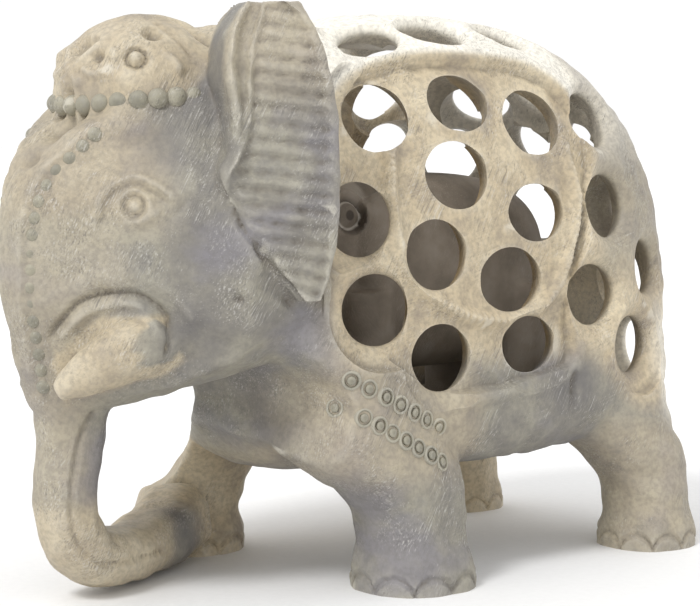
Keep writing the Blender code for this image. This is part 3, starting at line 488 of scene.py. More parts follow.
def swept_form(name, path, power):
    """A tapering form along a path of (x, y, z, half width, half depth)."""
    path = smooth_rows(path, TRUNK_STEPS)
    points = [Vector(row[:3]) for row in path]
    rings = []
    for index, row in enumerate(path):
        before = points[max(index - 1, 0)]
        after = points[min(index + 1, len(points) - 1)]
        direction = (after - before).normalized()
        across = (AXES[0] - direction * AXES[0].dot(direction)).normalized()
        depth = direction.cross(across)
        rings.append(oval_ring(points[index], across, depth, row[3], row[-1], power))
    return loft(name, rings)


def tapered_tube(name, path):
    """A round bar along (x, y, z, radius) points, from a bevelled curve turned into a mesh."""
    curve = bpy.data.curves.new(name, 'CURVE')
    curve.dimensions = '3D'
    curve.bevel_depth = 1.0
    curve.bevel_resolution = TUBE_STEPS
    curve.resolution_u = TUBE_STEPS
    curve.use_fill_caps = True
    spline = curve.splines.new('NURBS')
    spline.points.add(len(path) - 1)
    for point, row in zip(spline.points, path):
        point.co = (row[0], row[1], row[2], 1.0)
        point.radius = row[3]
    spline.use_endpoint_u = True
    spline.order_u = min(4, len(path))
    holder = new_object(name + "_curve", curve)
    bpy.context.view_layer.update()
    mesh = bpy.data.meshes.new_from_object(holder.evaluated_get(bpy.context.evaluated_depsgraph_get()))
    bpy.data.objects.remove(holder, do_unlink=True)
    shape = bmesh.new()
    shape.from_mesh(mesh)
    bpy.data.meshes.remove(mesh)
    bmesh.ops.remove_doubles(shape, verts=shape.verts, dist=MERGE)
    return object_from_bmesh(name, shape)


def rounded_block(name, middle, half_sizes, power, segments=96, rings=64):
    """A UV sphere pushed out to a superellipsoid."""
    shape = bmesh.new()
    bmesh.ops.create_uvsphere(shape, u_segments=segments, v_segments=rings, radius=1.0)
    for vert in shape.verts:
        reach = sum(abs(value) ** power for value in vert.co) ** (1.0 / power)
        vert.co = Vector(middle) + Vector([value / reach * half for value, half in zip(vert.co, half_sizes)])
    return object_from_bmesh(name, shape)


def body_reach(direction, inset):
    """How far the body's surface lies from its middle along a direction, less a wall."""
    x = abs(direction.x) / (BODY_HALF_WIDTH - inset)
    y = abs(direction.y) / ((BODY_REAR if direction.y > 0 else BODY_FRONT) - inset)
    z = abs(direction.z) / ((BODY_RISE if direction.z > 0 else BODY_DROP) - inset)
    downward = clamped(-direction.z / BELLY_TURN)
    power = BODY_CROSS_POWER + (BELLY_CROSS_POWER - BODY_CROSS_POWER) * downward
    side = (y ** BODY_SIDE_POWER + z ** BODY_SIDE_POWER) ** (power / BODY_SIDE_POWER)
    return (side + x ** power) ** (-1.0 / power)


def outside_body(point):
    offset = point - BODY_MIDDLE
    return offset.length > body_reach(offset.normalized(), 0.0)


def point_past(axis, start):
    """The body's surface straight out from a start point inside it, along one axis."""
    low = 0.0
    high = BODY_REAR + BODY_RISE
    for _ in range(SEARCH_ROUNDS):
        reach = (low + high) / 2.0
        if outside_body(start + axis * reach):
            high = reach
        else:
            low = reach
    return start + axis * low


def flank_point(y, z):
    return point_past(AXES[0], Vector((0.0, y, z)))


def surface_normal(point):
    """Outward direction of the body's surface near a point, from small steps."""
    def level(place):
        offset = place - BODY_MIDDLE
        return offset.length / body_reach(offset.normalized(), 0.0)
    step = 0.1
    gradient = [level(point + axis * step) - level(point - axis * step) for axis in AXES]
    return Vector(gradient).normalized()


def behind_chest(point):
    """The point itself, or moved back so that the gap behind the trunk stays open."""
    if CHEST_LIMIT[0][0] <= point.z <= CHEST_LIMIT[-1][0]:
        limit = float(at_height(point.z, CHEST_LIMIT, 1))
        slope = CHEST_SLOPE_LEFT if point.x > 0.0 else CHEST_SLOPE_RIGHT
        point.y = max(point.y, limit + slope * abs(point.x))
    return point


def body_form():
    shape = bmesh.new()
    bmesh.ops.create_uvsphere(shape, u_segments=BODY_SEGMENTS[0], v_segments=BODY_SEGMENTS[1], radius=1.0)
    for vert in shape.verts:
        direction = vert.co.normalized()
        vert.co = behind_chest(BODY_MIDDLE + direction * body_reach(direction, 0.0))
    return object_from_bmesh("body_form", shape)


def chest_form():
    chest = rounded_block("chest", CHEST_MIDDLE, CHEST_HALF, CHEST_POWER)
    for vert in chest.data.vertices:
        vert.co = behind_chest(Vector(vert.co))
    return chest


def leg_form(name, rings, side, step):
    """A leg from sole to shoulder, its foot set forward by a step that fades out above."""
    loops = []
    for height, x, y, half_x, half_y in smooth_rows(rings, LEG_STEPS):
        fade = clamped((STEP_FADE_HEIGHT - height) / (STEP_FADE_HEIGHT - STEP_FULL_HEIGHT))
        middle = Vector((side * x, y - step * fade, height))
        ring = oval_ring(middle, AXES[0], AXES[1], half_x, half_y, LEG_POWER)
        loops.append([behind_chest(point) for point in ring])
    return loft(name, loops)


def head_form():
    """The head as level slices: a narrow flat front, cheeks that widen, a straight back."""
    loops = []
    for height, front, back, half_front, half_back in smooth_rows(HEAD_RINGS, HEAD_STEPS):
        cheek = min(CHEEK_LENGTH, (back - front) * CHEEK_SHARE)
        left = []
        for step in range(CHEEK_STEPS + 1):
            share = step / CHEEK_STEPS
            x = half_front + (half_back - half_front) * share ** CHEEK_POWER
            left.append((x, front + cheek * share))
        left.append((half_back * HEAD_BACK_SHARE, back))
        right = [(-x, y) for x, y in reversed(left)]
        loops.append([Vector((x, y, height)) for x, y in left + right])
    return loft("head_form", loops)


def ear_profile(share, share_up, height):
    """Height of the ear's face above its plane, from the front roll to the rear rim."""
    above = eased((height - EAR_ROLL_FADE[0]) / (EAR_ROLL_FADE[1] - EAR_ROLL_FADE[0]))
    fold_at = float(at_height(height, EAR_FOLD_PLACES, 1))
    roll = EAR_ROLL_HEIGHT * above * math.exp(-((share - EAR_ROLL_AT) / EAR_ROLL_WIDTH) ** 2)
    fold = EAR_FOLD_HEIGHT * above * math.exp(-((share - fold_at) / EAR_FOLD_WIDTH) ** 2)
    rim = EAR_RIM_HEIGHT * math.exp(-((share - EAR_RIM_AT) / EAR_RIM_WIDTH) ** 2)
    wave = abs(math.sin(math.pi * (EAR_RIDGES * share_up + EAR_RIDGE_TILT * share))) ** EAR_RIDGE_POWER
    ridged = eased((share - fold_at - EAR_RIDGE_GAP) / EAR_RIDGE_FADE)
    ridged *= eased((EAR_RIM_AT - share) / EAR_RIDGE_FADE)
    return roll + fold + rim + EAR_RIDGE_HEIGHT * wave * ridged


def ear_form(side):
    """An ear as a stack of level slices, with a front roll, an inner fold, ridges and a rim."""
    table = smooth_rows(EAR_RINGS, EAR_STEPS)
    loops = []
    for index in range(EAR_SLICES + 1):
        share_up = index / EAR_SLICES
        height = EAR_RINGS[0][0] + (EAR_RINGS[-1][0] - EAR_RINGS[0][0]) * share_up
        front_y, rear_y, front_x, rear_x = [float(at_height(height, table, column))
                                            for column in (1, 2, 3, 4)]
        front = Vector((front_x, front_y, height))
        rear = Vector((rear_x, rear_y, height))
        if side < 0:
            front += RIGHT_EAR_MOVE
            rear += RIGHT_EAR_MOVE
        outward = Vector((rear.y - front.y, front.x - rear.x, 0.0)).normalized()
        face = []
        for column in range(EAR_COLUMNS + 1):
            share = column / EAR_COLUMNS
            face.append(front.lerp(rear, share) + outward * ear_profile(share, share_up, height))
        root = Vector((front.x - EAR_ROOT_IN, front.y + EAR_ROOT_BACK, front.z))
        loop = face + [rear - outward * EAR_DEPTH, root]
        loops.append([Vector((point.x * side, point.y, point.z)) for point in loop])
    return loft("ear_%+d" % side, loops)


def hollow_cutter():
    """The room inside the body, in level slices that keep the wall, with a flat floor."""
    floor = BODY_MIDDLE.z - BODY_DROP + FLOOR_THICKNESS
    top = BODY_MIDDLE.z + BODY_RISE
    heights = (floor, HOLLOW_CHEST_HEIGHT, HOLLOW_FREE_HEIGHT) + HOLLOW_UPPER_HEIGHTS + (top - SHELL_WALL,)
    rings = []
    for height in heights:
        level = min(max(height + SHELL_WALL * HOLLOW_CROWN_LIFT, HOLLOW_WIDEST_Z), top - HOLLOW_CROWN_MARGIN)
        half_x = flank_point(BODY_MIDDLE.y, level).x - SHELL_WALL
        rear = point_past(AXES[1], Vector((0.0, BODY_MIDDLE.y, level))).y - SHELL_WALL
        middle = Vector((0.0, (rear + HOLLOW_FRONT_Y) / 2.0, height))
        ring = oval_ring(middle, AXES[0], AXES[1], half_x,
                         (rear - HOLLOW_FRONT_Y) / 2.0, HOLLOW_POWER, HOLLOW_SIDES)
        share = clamped((HOLLOW_FREE_HEIGHT - height) / (HOLLOW_FREE_HEIGHT - HOLLOW_CHEST_HEIGHT))
        for point in ring:
            slope = share * (CHEST_SLOPE_LEFT if point.x > 0.0 else CHEST_SLOPE_RIGHT)
            point.y = max(point.y, HOLLOW_FRONT_Y + slope * (abs(point.x) - HOLLOW_FRONT_WIDTH))
        rings.append(ring)
    return loft("hollow_cutter", rings)


def window_places():
    """Every window as a surface point, half width and half height."""
    places = []
    for side, windows in ((1.0, LEFT_WINDOWS), (-1.0, RIGHT_WINDOWS)):
        for y, z, half_width, half_height in windows:
            point = flank_point(y, z)
            point.x *= side
            places.append((point, half_width, half_height))
    for side in (1.0, -1.0):
        for x, z, half_width, half_height in REAR_WINDOWS:
            if x > 0.0 or side > 0.0:
                point = point_past(AXES[1], Vector((side * x, BODY_MIDDLE.y, z)))
                places.append((point, half_width, half_height))
        for x, y, half_width, half_height in TOP_WINDOWS:
            point = point_past(AXES[2], Vector((side * x, y, BODY_MIDDLE.z)))
            places.append((point, half_width, half_height))
    return places


def plane_axes(normal):
    """Two unit directions square to a normal."""
    steep = abs(normal.z) > abs(normal.x) + abs(normal.y)
    across = AXES[1] if steep else AXES[2]
    across = (across - normal * across.dot(normal)).normalized()
    return across, normal.cross(across)


def window_cutters():
    """One scooped hole for each window; neighbouring dishes meet in sharp ridges."""
    cutters = []
    for index, (point, half_width, half_height) in enumerate(window_places()):
        normal = surface_normal(point)
        upward, sideways = plane_axes(normal)
        rings = []
        for step_out, height in WINDOW_PROFILE:
            rings.append(oval_ring(point + normal * height, upward, sideways, half_height + step_out,
                                   half_width + step_out, 2.0, WINDOW_SIDES))
        cutters.append(loft("window_%02d" % index, rings))
    return cutters


def joined(name, items):
    """Several closed forms as one mesh, still overlapping."""
    shape = bmesh.new()
    for item in items:
        shape.from_mesh(item.data)
        bpy.data.objects.remove(item, do_unlink=True)
    return object_from_bmesh(name, shape)


def apply_modifiers(item):
    """Turns an object's modifiers into its mesh."""
    bpy.context.view_layer.update()
    mesh = bpy.data.meshes.new_from_object(item.evaluated_get(bpy.context.evaluated_depsgraph_get()))
    item.modifiers.clear()
    old = item.data
    item.data = mesh
    bpy.data.meshes.remove(old)
    return item


def fused(item, step):
    """One skin around overlapping forms."""
    remesh = item.modifiers.new("fuse", 'REMESH')
    remesh.mode = 'VOXEL'
    remesh.voxel_size = step
    return apply_modifiers(item)


def softened(item, rounds):
    smooth = item.modifiers.new("soften", 'SMOOTH')
    smooth.factor = 0.5
    smooth.iterations = rounds
    return apply_modifiers(item)


def thinned(item, triangles):
    """Fewer triangles where the surface is plain."""
    count = sum(len(face.vertices) - 2 for face in item.data.polygons)
    if count > triangles:
        thin = item.modifiers.new("thin", 'DECIMATE')
        thin.ratio = triangles / count
        apply_modifiers(item)
    return item


def carved(item, cutters):
    """Cuts closed forms away with the Manifold solver."""
    group = bpy.data.collections.new("cutters")
    for cutter in cutters:
        group.objects.link(cutter)
    boolean = item.modifiers.new("carve", 'BOOLEAN')
    boolean.operation = 'DIFFERENCE'
    boolean.solver = 'MANIFOLD'
    boolean.operand_type = 'COLLECTION'
    boolean.collection = group
    apply_modifiers(item)
    for cutter in cutters:
        bpy.data.objects.remove(cutter, do_unlink=True)
    bpy.data.collections.remove(group)
    return item


def vertex_table(item):
    """Places and outward directions of a mesh's vertices, as arrays."""
    places = np.empty(len(item.data.vertices) * 3)
    outward = np.empty(len(item.data.vertices) * 3)
    item.data.vertices.foreach_get("co", places)
    item.data.vertex_normals.foreach_get("vector", outward)
    return places.reshape(-1, 3), outward.reshape(-1, 3)


def distance_to_line(places, path):
    """Distance of each place to a smooth line through the given points, where it is near."""
    line = np.array(smooth_rows(path, LINE_STEPS))
    low = line.min(axis=0) - STROKE_REACH
    high = line.max(axis=0) + STROKE_REACH
    near = np.all((places > low) & (places < high), axis=1)
    distance = np.full(len(places), FAR)
    offsets = places[near][:, None, :] - line[None, :, :]
    distance[near] = np.sqrt((offsets ** 2).sum(axis=2)).min(axis=1)
    return distance


def carved_line(places, path, height, width):
    """A raised line, or a cut one where the height is negative, on both sides."""
    other = [(-x, y, z) for x, y, z in path]
    near = np.minimum(distance_to_line(places, path), distance_to_line(places, other))
    return height * hump(near, width)


def distance_to_spot(places, spot):
    """Distance to a spot or to its mirror image, whichever is nearer."""
    folded = np.abs(places[:, 0]) - abs(spot[0])
    return np.sqrt(folded ** 2 + (places[:, 1] - spot[1]) ** 2 + (places[:, 2] - spot[2]) ** 2)


def inside_distance(y, z, outline):
    """How far into a closed outline each place lies, negative outside it."""
    corners = np.array(smooth_rows(outline + outline[:1], OUTLINE_STEPS))
    inside = np.zeros(len(y), bool)
    nearest = np.full(len(y), FAR)
    for (ay, az), (by, bz) in zip(corners[:-1], corners[1:]):
        if az != bz:
            inside ^= ((az > z) != (bz > z)) & (y < (by - ay) * (z - az) / (bz - az) + ay)
        along = (y - ay) * (by - ay) + (z - az) * (bz - az)
        share = np.clip(along / ((by - ay) ** 2 + (bz - az) ** 2), 0, 1)
        nearest = np.minimum(nearest, np.hypot(y - ay - share * (by - ay), z - az - share * (bz - az)))
    return np.where(inside, nearest, -nearest)


def panel_relief(places):
    """The lattice panel a little sunk inside its raised border, and the bold arc across it."""
    folded = np.column_stack([np.abs(places[:, 0]), places[:, 1:]])
    flank = np.all(folded > PANEL_FROM, axis=1)
    rise = np.zeros(len(places))
    inward = inside_distance(places[flank, 1], places[flank, 2], PANEL_OUTLINE)
    rise[flank] = BORDER_HEIGHT * hump(inward + BORDER_WIDTH, BORDER_WIDTH)
    rise[flank] -= PANEL_RECESS * eased(inward / PANEL_EDGE)
    return rise + carved_line(places, ARC_PATH, ARC_HEIGHT, ARC_WIDTH)


def forehead_relief(places):
    """The strip between the two bead rows of the forehead, bulging a little in front of them."""
    z = places[:, 2]
    beside = at_height(z, HEAD_RINGS, 3) + STRIP_SIDE - np.abs(places[:, 0])
    ahead = at_height(z, HEAD_RINGS, 1) + STRIP_DEPTH - places[:, 1]
    strip = eased(beside / STRIP_EDGE) * eased(ahead)
    return STRIP_HEIGHT * strip * eased((z - STRIP_LOW) / STRIP_FADE) * eased((STRIP_TOP - z) / STRIP_FADE)


def ring_relief(places, spot, rings):
    """Rings raised or cut around a spot and its mirror image."""
    away = distance_to_spot(places, spot)
    return sum(height * hump(away - radius, width) for radius, height, width in rings)


def eye_relief(places):
    """Pupil, ring groove and lid around each eye, with the brow over it."""
    rise = ring_relief(places, EYE_PLACE, EYE_RINGS)
    rise += carved_line(places, BROW_PATH, BROW_HEIGHT, BROW_WIDTH)
    eye = Vector(EYE_PLACE)
    under = [tuple(eye.lerp(Vector(point), BROW_CUT_SHARE)) for point in BROW_PATH]
    return rise + carved_line(places, under, -BROW_CUT, BROW_WIDTH)


def nail_relief(places):
    """Rows of arched toenails cut around each foot."""
    rise = np.zeros(len(places))
    for row, forward in ((FRONT_LEG[1], FRONT_STEP), (REAR_LEG[1], 0.0)):
        for side in (1.0, -1.0):
            x = places[:, 0] - side * row[1]
            y = places[:, 1] - row[2] + (forward if side < 0 else 0.0)
            foot = (np.hypot(x, y) < row[3] * NAIL_REACH) & (places[:, 2] < NAIL_TOP * 2.0)
            angle = np.arctan2(y[foot], x[foot])
            arch = NAIL_TOP * np.sqrt(np.abs(np.sin(angle * NAIL_COUNT / 2.0)))
            rise[foot] -= NAIL_CUT * hump(places[foot, 2] - arch, NAIL_WIDTH)
    return rise


def hand_waves(places):
    """A slight unevenness from the hand tools: a sum of slow waves in many directions."""
    chance = np.random.default_rng(WAVE_SEED)
    rise = np.zeros(len(places))
    for _ in range(WAVE_COUNT):
        direction = chance.normal(size=3)
        direction *= chance.uniform(*WAVE_TIGHTNESS) / np.linalg.norm(direction)
        rise += np.sin(places @ direction + chance.uniform(0.0, math.tau))
    return rise * WAVE_HEIGHT


def push_out(item, places, outward, rise):
    item.data.vertices.foreach_set("co", (places + outward * rise[:, None]).ravel())


def relieve(item):
    """Pushes the skin out and in along its own directions to carve the finer relief."""
    places, outward = vertex_table(item)
    rise = panel_relief(places) + eye_relief(places) + nail_relief(places) + hand_waves(places)
    rise += forehead_relief(places)
    for path, height, width in LIP_LINES + TRUNK_LINES + CHEEK_LINES + CAP_LINES + BELLY_LINES:
        rise += carved_line(places, path, height, width)
    for spot, radius, depth in SCOOPS:
        rise -= depth * np.exp(-(distance_to_spot(places, spot) / radius) ** 4)
    rise += ring_relief(places, BOSS_PLACE, BOSS_RINGS)
    push_out(item, places, outward, rise)
    item.data.update()


def body_level(places):
    """How far out each place lies: 1 on the body's plain surface, less inside it."""
    offset = places - np.array(BODY_MIDDLE)
    away = np.linalg.norm(offset, axis=1)
    x = np.abs(offset[:, 0]) / BODY_HALF_WIDTH
    y = np.abs(offset[:, 1]) / np.where(offset[:, 1] > 0, BODY_REAR, BODY_FRONT)
    z = np.abs(offset[:, 2]) / np.where(offset[:, 2] > 0, BODY_RISE, BODY_DROP)
    downward = np.clip(-offset[:, 2] / away / BELLY_TURN, 0.0, 1.0)
    power = BODY_CROSS_POWER + (BELLY_CROSS_POWER - BODY_CROSS_POWER) * downward
    side = (y ** BODY_SIDE_POWER + z ** BODY_SIDE_POWER) ** (power / BODY_SIDE_POWER)
    return (side + x ** power) ** (1.0 / power)


def patch(columns, strength, *fades):
    """How strong a painted patch is at each place, from its fades along the columns."""
    for axis, start, width in fades:
        strength = strength * eased((columns[:, axis] - start) / width)
    return strength


def near_tone(distance, strength, reach, fade):
    return strength * eased((reach - distance) / fade)


def paint_tones(item):
    """Stores on each vertex how cream it is, with painted fill light on shaded parts, how deep in the stone it
    is, and how pale it is, on the rail and as painted fill light on the shaded hind, for the material.
    """
    places, _ = vertex_table(item)
    columns = np.column_stack([places, np.abs(places[:, 0])])
    y = places[:, 1]
    z = places[:, 2]
    low_edge = LATTICE_LOW - patch(columns, *LATTICE_DROP)
    body = patch(columns, *LATTICE_FRONT) * eased((z - low_edge) / LATTICE_FADE)
    lattice = body * (1.0 - patch(columns, *REAR_GREY))
    tuft = near_tone(distance_to_spot(places, TAIL_PATH[-2]), *TUFT_TONE)
    tusk = np.minimum(distance_to_line(places, [row[:3] for row in LEFT_TUSK_PATH]),
                      distance_to_line(places, [row[:3] for row in RIGHT_TUSK_PATH]))
    tusk = near_tone(tusk, *TUSK_TONE) * patch(columns, *TUSK_BELOW)
    depth = (1.0 - body_level(places)) * BODY_HALF_WIDTH * DEPTH_STRETCH
    deep = eased((depth - DEEP_FROM) / DEEP_FADE) * body
    rail_and_fill = lattice * eased(-inside_distance(y, z, PANEL_OUTLINE)) * patch(columns, *RAIL_TONE)
    # Painted fill light: the shaded hind is made pale like the rail
    rail_and_fill = np.maximum(rail_and_fill, patch(columns, *HIND_FILL_LIGHT))
    # Cream of the stone, with painted fill light on shaded parts
    patches = [patch(columns, *row) for row in CREAM_AND_FILL_PATCHES.values()]
    cream = np.max([lattice, tusk, tuft] + patches, axis=0)
    tones = np.stack([cream, deep, rail_and_fill, np.ones(len(places))], axis=1)
    layer = item.data.attributes.new("tones", 'FLOAT_COLOR', 'POINT')
    layer.data.foreach_set("color", tones.astype(np.float32).ravel())


def ground_block(level):
    shape = bmesh.new()
    bmesh.ops.create_cube(shape, size=1.0)
    bmesh.ops.scale(shape, verts=shape.verts, vec=GROUND_BLOCK)
    bmesh.ops.translate(shape, verts=shape.verts, vec=(0.0, 0.0, level - GROUND_BLOCK[2] / 2.0))
    return object_from_bmesh("ground_block", shape)


def finish_piece(item, material, node):
    """Moves a finished piece onto the CAD model in metres, hangs it on the root body and hides the CAD part it
    stands for.
    """
    for vert in item.data.vertices:
        vert.co = (vert.co + TO_CAD) * MM
    item.data.materials.clear()
    item.data.materials.append(material)
    item.data.shade_smooth()
    item.data.set_sharp_from_angle(angle=SHARP_ANGLE)
    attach(item, "root")
    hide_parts(node)
    return item


def outer_elephant(material):
    items = [body_form(), chest_form(), head_form()]
    for side in (1.0, -1.0):
        step = FRONT_STEP if side < 0 else 0.0
        items.append(leg_form("front_leg", FRONT_LEG, side, step))
        items.append(leg_form("rear_leg", REAR_LEG, side, 0.0))
    items.append(tapered_tube("left_tusk", LEFT_TUSK_PATH))
    items.append(tapered_tube("right_tusk", RIGHT_TUSK_PATH))
    items.append(swept_form("trunk", TRUNK_PATH, TRUNK_POWER))
    items.append(tapered_tube("tail", TAIL_PATH))
    items.append(rounded_block("cap", CAP_MIDDLE, CAP_HALF, CAP_POWER))
    stone = fused(joined("carved_elephant", items), SKIN_STEP * FORMS_COARSER)
    softened(stone, SOFTENING)
    ears = [ear_form(side) for side in (1.0, -1.0)]
    stone = fused(joined("carved_elephant", [stone] + ears), SKIN_STEP)
    relieve(stone)
    thinned(stone, SKIN_TRIANGLES)
    carved(stone, window_cutters() + [ground_block(0.0)])
    carved(stone, [hollow_cutter()])
    stone.name = "carved_elephant"
    paint_tones(stone)
    return finish_piece(stone, material, "elephant")


def skin_spot(stone, y, z, side):
    """Place and outward direction of the finished skin on a line square to the middle plane."""
    start = (Vector((side * 2.0 * BODY_HALF_WIDTH, y, z)) + TO_CAD) * MM
    _, place, outward, _ = stone.ray_cast(start, Vector((-side, 0.0, 0.0)))
    return place / MM - TO_CAD, outward


def bead(shape, place, outward, radius, drilled):
    """A domed bead turned on its own axis, with a drilled ring groove around a small boss."""
    across, along = plane_axes(outward)
    rings = []
    for share, height in (DRILLED_BEAD if drilled else ROUND_BEAD):
        middle = place + outward * (radius * height)
        rings.append(oval_ring(middle, across, along, radius * share, radius * share, 2.0, BEAD_SIDES))
    add_skin(shape, rings)


def head_front_edge(height):
    return Vector((at_height(height, HEAD_RINGS, 3), at_height(height, HEAD_RINGS, 1), height))


def bead_rows(stone, material):
    """Cap, forehead and shoulder beads."""
    shape = bmesh.new()
    for index in range(CAP_BEADS):
        angle = CAP_BEAD_FROM + CAP_BEAD_TURN * index / (CAP_BEADS - 1)
        outward = Vector((math.cos(angle), -math.sin(angle), 0.0))
        place = Vector((CAP_BEAD_HALF[0] * outward.x, CAP_MIDDLE.y + CAP_BEAD_HALF[1] * outward.y,
                        CAP_BEAD_Z - CAP_BEAD_SAG * outward.y ** 2))
        bead(shape, place, outward, CAP_BEAD_RADIUS, False)
    height = PANEL_BEAD_TOP_Z
    while height > PANEL_BEAD_LOW_Z:
        place = head_front_edge(height)
        for side in (1.0, -1.0):
            spot = Vector(((place.x + PANEL_BEAD_SPREAD) * side, place.y + PANEL_BEAD_SINK, height))
            bead(shape, spot, Vector((side, -1.0, 0.0)).normalized(), PANEL_BEAD_RADIUS, False)
        below = head_front_edge(height - PANEL_BEAD_PITCH)
        height -= PANEL_BEAD_PITCH ** 2 / (place - below).length
    for start, end, count in SHOULDER_ROWS:
        for index in range(count):
            share = index / (count - 1)
            y = start[0] + (end[0] - start[0]) * share
            z = start[1] + (end[1] - start[1]) * share
            for side in (1.0, -1.0):
                place, outward = skin_spot(stone, y, z, side)
                bead(shape, place - outward * SHOULDER_BEAD_SINK, outward, SHOULDER_BEAD_RADIUS, True)
    return finish_piece(object_from_bmesh("carved_beads", shape), material, "elephant")


def inner_elephant(material):
    """The small elephant, solid, standing on the floor of the hollow."""
    floor = BODY_MIDDLE.z - BODY_DROP + FLOOR_THICKNESS + REST_GAP
    items = [rounded_block("inner_body", INNER_BODY_MIDDLE, INNER_BODY_HALF, INNER_BODY_POWER),
             rounded_block("inner_head", INNER_HEAD_MIDDLE, INNER_HEAD_HALF, INNER_BODY_POWER)]
    for x, y in INNER_LEG_PLACES:
        path = ((x, y, floor - INNER_LEG_SUNK, INNER_LEG_RADIUS),
                (x, y, floor + INNER_FOOT_HEIGHT, INNER_LEG_RADIUS),
                (x, y, INNER_LEG_TOP_Z, INNER_LEG_RADIUS * INNER_LEG_FLARE))
        items.append(tapered_tube("inner_leg", path))
    items.append(tapered_tube("inner_trunk", INNER_TRUNK_PATH))
    items.append(tapered_tube("inner_tail", INNER_TAIL_PATH))
    for side in (1.0, -1.0):
        ear = (INNER_EAR_PLACE[0] * side,) + INNER_EAR_PLACE[1:]
        items.append(rounded_block("inner_ear", ear, INNER_EAR_HALF, INNER_EAR_POWER))
        eye = (INNER_EYE_PLACE[0] * side,) + INNER_EYE_PLACE[1:]
        items.append(rounded_block("inner_eye", eye, [INNER_EYE_RADIUS] * 3, 2.0, 32, 20))
    small = fused(joined("carved_inner_elephant", items), INNER_STEP)
    softened(small, INNER_SOFTENING)
    places, outward = vertex_table(small)
    push_out(small, places, outward, ring_relief(places, INNER_EYE_PLACE, INNER_EYE_RINGS))
    thinned(small, INNER_TRIANGLES)
    carved(small, [ground_block(floor)])
    small.name = "carved_inner_elephant"
    return finish_piece(small, material, "inner_elephant")


class Nodes:
    """Short calls for building one material's node tree."""

    def __init__(self, name):
        self.material = bpy.data.materials.new(name)
        self.material.use_nodes = True
        self.tree = self.material.node_tree
        self.shader = self.tree.nodes["Principled BSDF"]
        self.place = self.tree.nodes.new("ShaderNodeNewGeometry").outputs["Position"]

    def link(self, source, target):
        self.tree.links.new(source, target)

    def node(self, kind, **inputs):
        made = self.tree.nodes.new(kind)
        for name, value in inputs.items():
            socket = made.inputs[name.replace("_", " ")]
            if isinstance(value, bpy.types.NodeSocket):
                self.link(value, socket)
            else:
                socket.default_value = value
        return made

    def mapped(self, vector, **inputs):
        return self.node("ShaderNodeMapping", Vector=vector, **inputs).outputs["Vector"]

    def noise(self, vector, scale, detail=4.0, roughness=0.55):
        made = self.node("ShaderNodeTexNoise", Vector=vector, Scale=scale, Detail=detail, Roughness=roughness)
        return made.outputs["Fac"]

    def ramp(self, value, stops):
        """Stops are a position and a colour, or one number for a grey."""
        made = self.node("ShaderNodeValToRGB", Fac=value)
        elements = made.color_ramp.elements
        while len(elements) < len(stops):
            elements.new(0.5)
        for element, (position, colour) in zip(elements, stops):
            element.position = position
            element.color = colour if isinstance(colour, tuple) else grey(colour)
        return made.outputs["Color"]

    def mix(self, factor, first, second):
        made = self.tree.nodes.new("ShaderNodeMix")
        made.data_type = 'RGBA'
        for socket, value in ((made.inputs[0], factor), (made.inputs[6], first), (made.inputs[7], second)):
            if isinstance(value, bpy.types.NodeSocket):
                self.link(value, socket)
            else:
                socket.default_value = value
        return made.outputs[2]

    def bump(self, height, strength, distance, normal=None):
        made = self.node("ShaderNodeBump", Height=height, Strength=strength, Distance=distance)
        if normal is not None:
            self.link(normal, made.inputs["Normal"])
        return made.outputs["Normal"]

    def finished(self, colour, roughness, normal=None):
        """Puts the surface on the shader and gives back the material."""
        self.link(colour, self.shader.inputs["Base Color"])
        self.shader.inputs["Roughness"].default_value = roughness
        if normal is not None:
            self.link(normal, self.shader.inputs["Normal"])
        return self.material


def grey(value):
    return (value, value, value, 1.0)


def streaks(n, tilt, choice_scale, offset):
    """Fine lines lying in one direction of the elephant's side, in patches."""
    turned = n.mapped(n.place, Rotation=(tilt, 0.0, STREAK_LEAN), Location=(offset, 0.0, 0.0))
    lines = n.noise(n.mapped(turned, Scale=(STREAK_FINE, STREAK_FINE, STREAK_LONG)), 1.0, 2.0, 0.6)
    patches = n.noise(turned, choice_scale, 2.0)
    return n.mix(n.ramp(patches, ((0.40, 0.0), (0.60, 1.0))), grey(0.5), lines)


def scratches(n):
    """File marks in four directions, as one value around the middle."""
    layers = [streaks(n, math.radians(tilt), choice_scale, offset) for tilt, choice_scale, offset in STREAKS]
    total = layers[0]
    for layer in layers[1:]:
        total = n.mix(0.5, total, layer)
    return total


def stone_surface(n, colour):
    """Grain, pale ridges (wear and a painted highlight), painted shade in the hollows, file marks and bump over
    a stone's colour.
    """
    marks = scratches(n)
    edges = n.tree.nodes.new("ShaderNodeNewGeometry").outputs["Pointiness"]
    # Pale on sharp ridges: partly wear, partly a painted highlight; dark in creases and hollows: painted shade
    worn_and_highlit = n.ramp(edges, ((0.51, 0.0), (0.60, 0.45)))
    hollow_shade = n.ramp(edges, ((0.43, 0.85), (0.49, 0.0)))
    grain = n.noise(n.place, 1500.0, 3.0)
    colour = n.mix(n.ramp(grain, ((0.36, 0.30), (0.60, 0.0))), colour, (0.13, 0.12, 0.11, 1))
    # Painted shade in creases and hollows, then wear and a painted highlight on the ridges
    colour = n.mix(hollow_shade, colour, (0.13, 0.11, 0.085, 1))
    colour = n.mix(worn_and_highlit, colour, (0.72, 0.68, 0.58, 1))
    colour = n.mix(n.ramp(marks, ((0.53, 0.0), (0.61, 0.45))), colour, (0.66, 0.64, 0.60, 1))
    colour = n.mix(n.ramp(marks, ((0.40, 0.55), (0.48, 0.0))), colour, (0.12, 0.115, 0.11, 1))
    normal = n.bump(marks, 0.6, 0.0005)
    normal = n.bump(n.noise(n.place, 450.0, 4.0), 0.25, 0.0003, normal)
    return n.finished(colour, 0.55, normal)


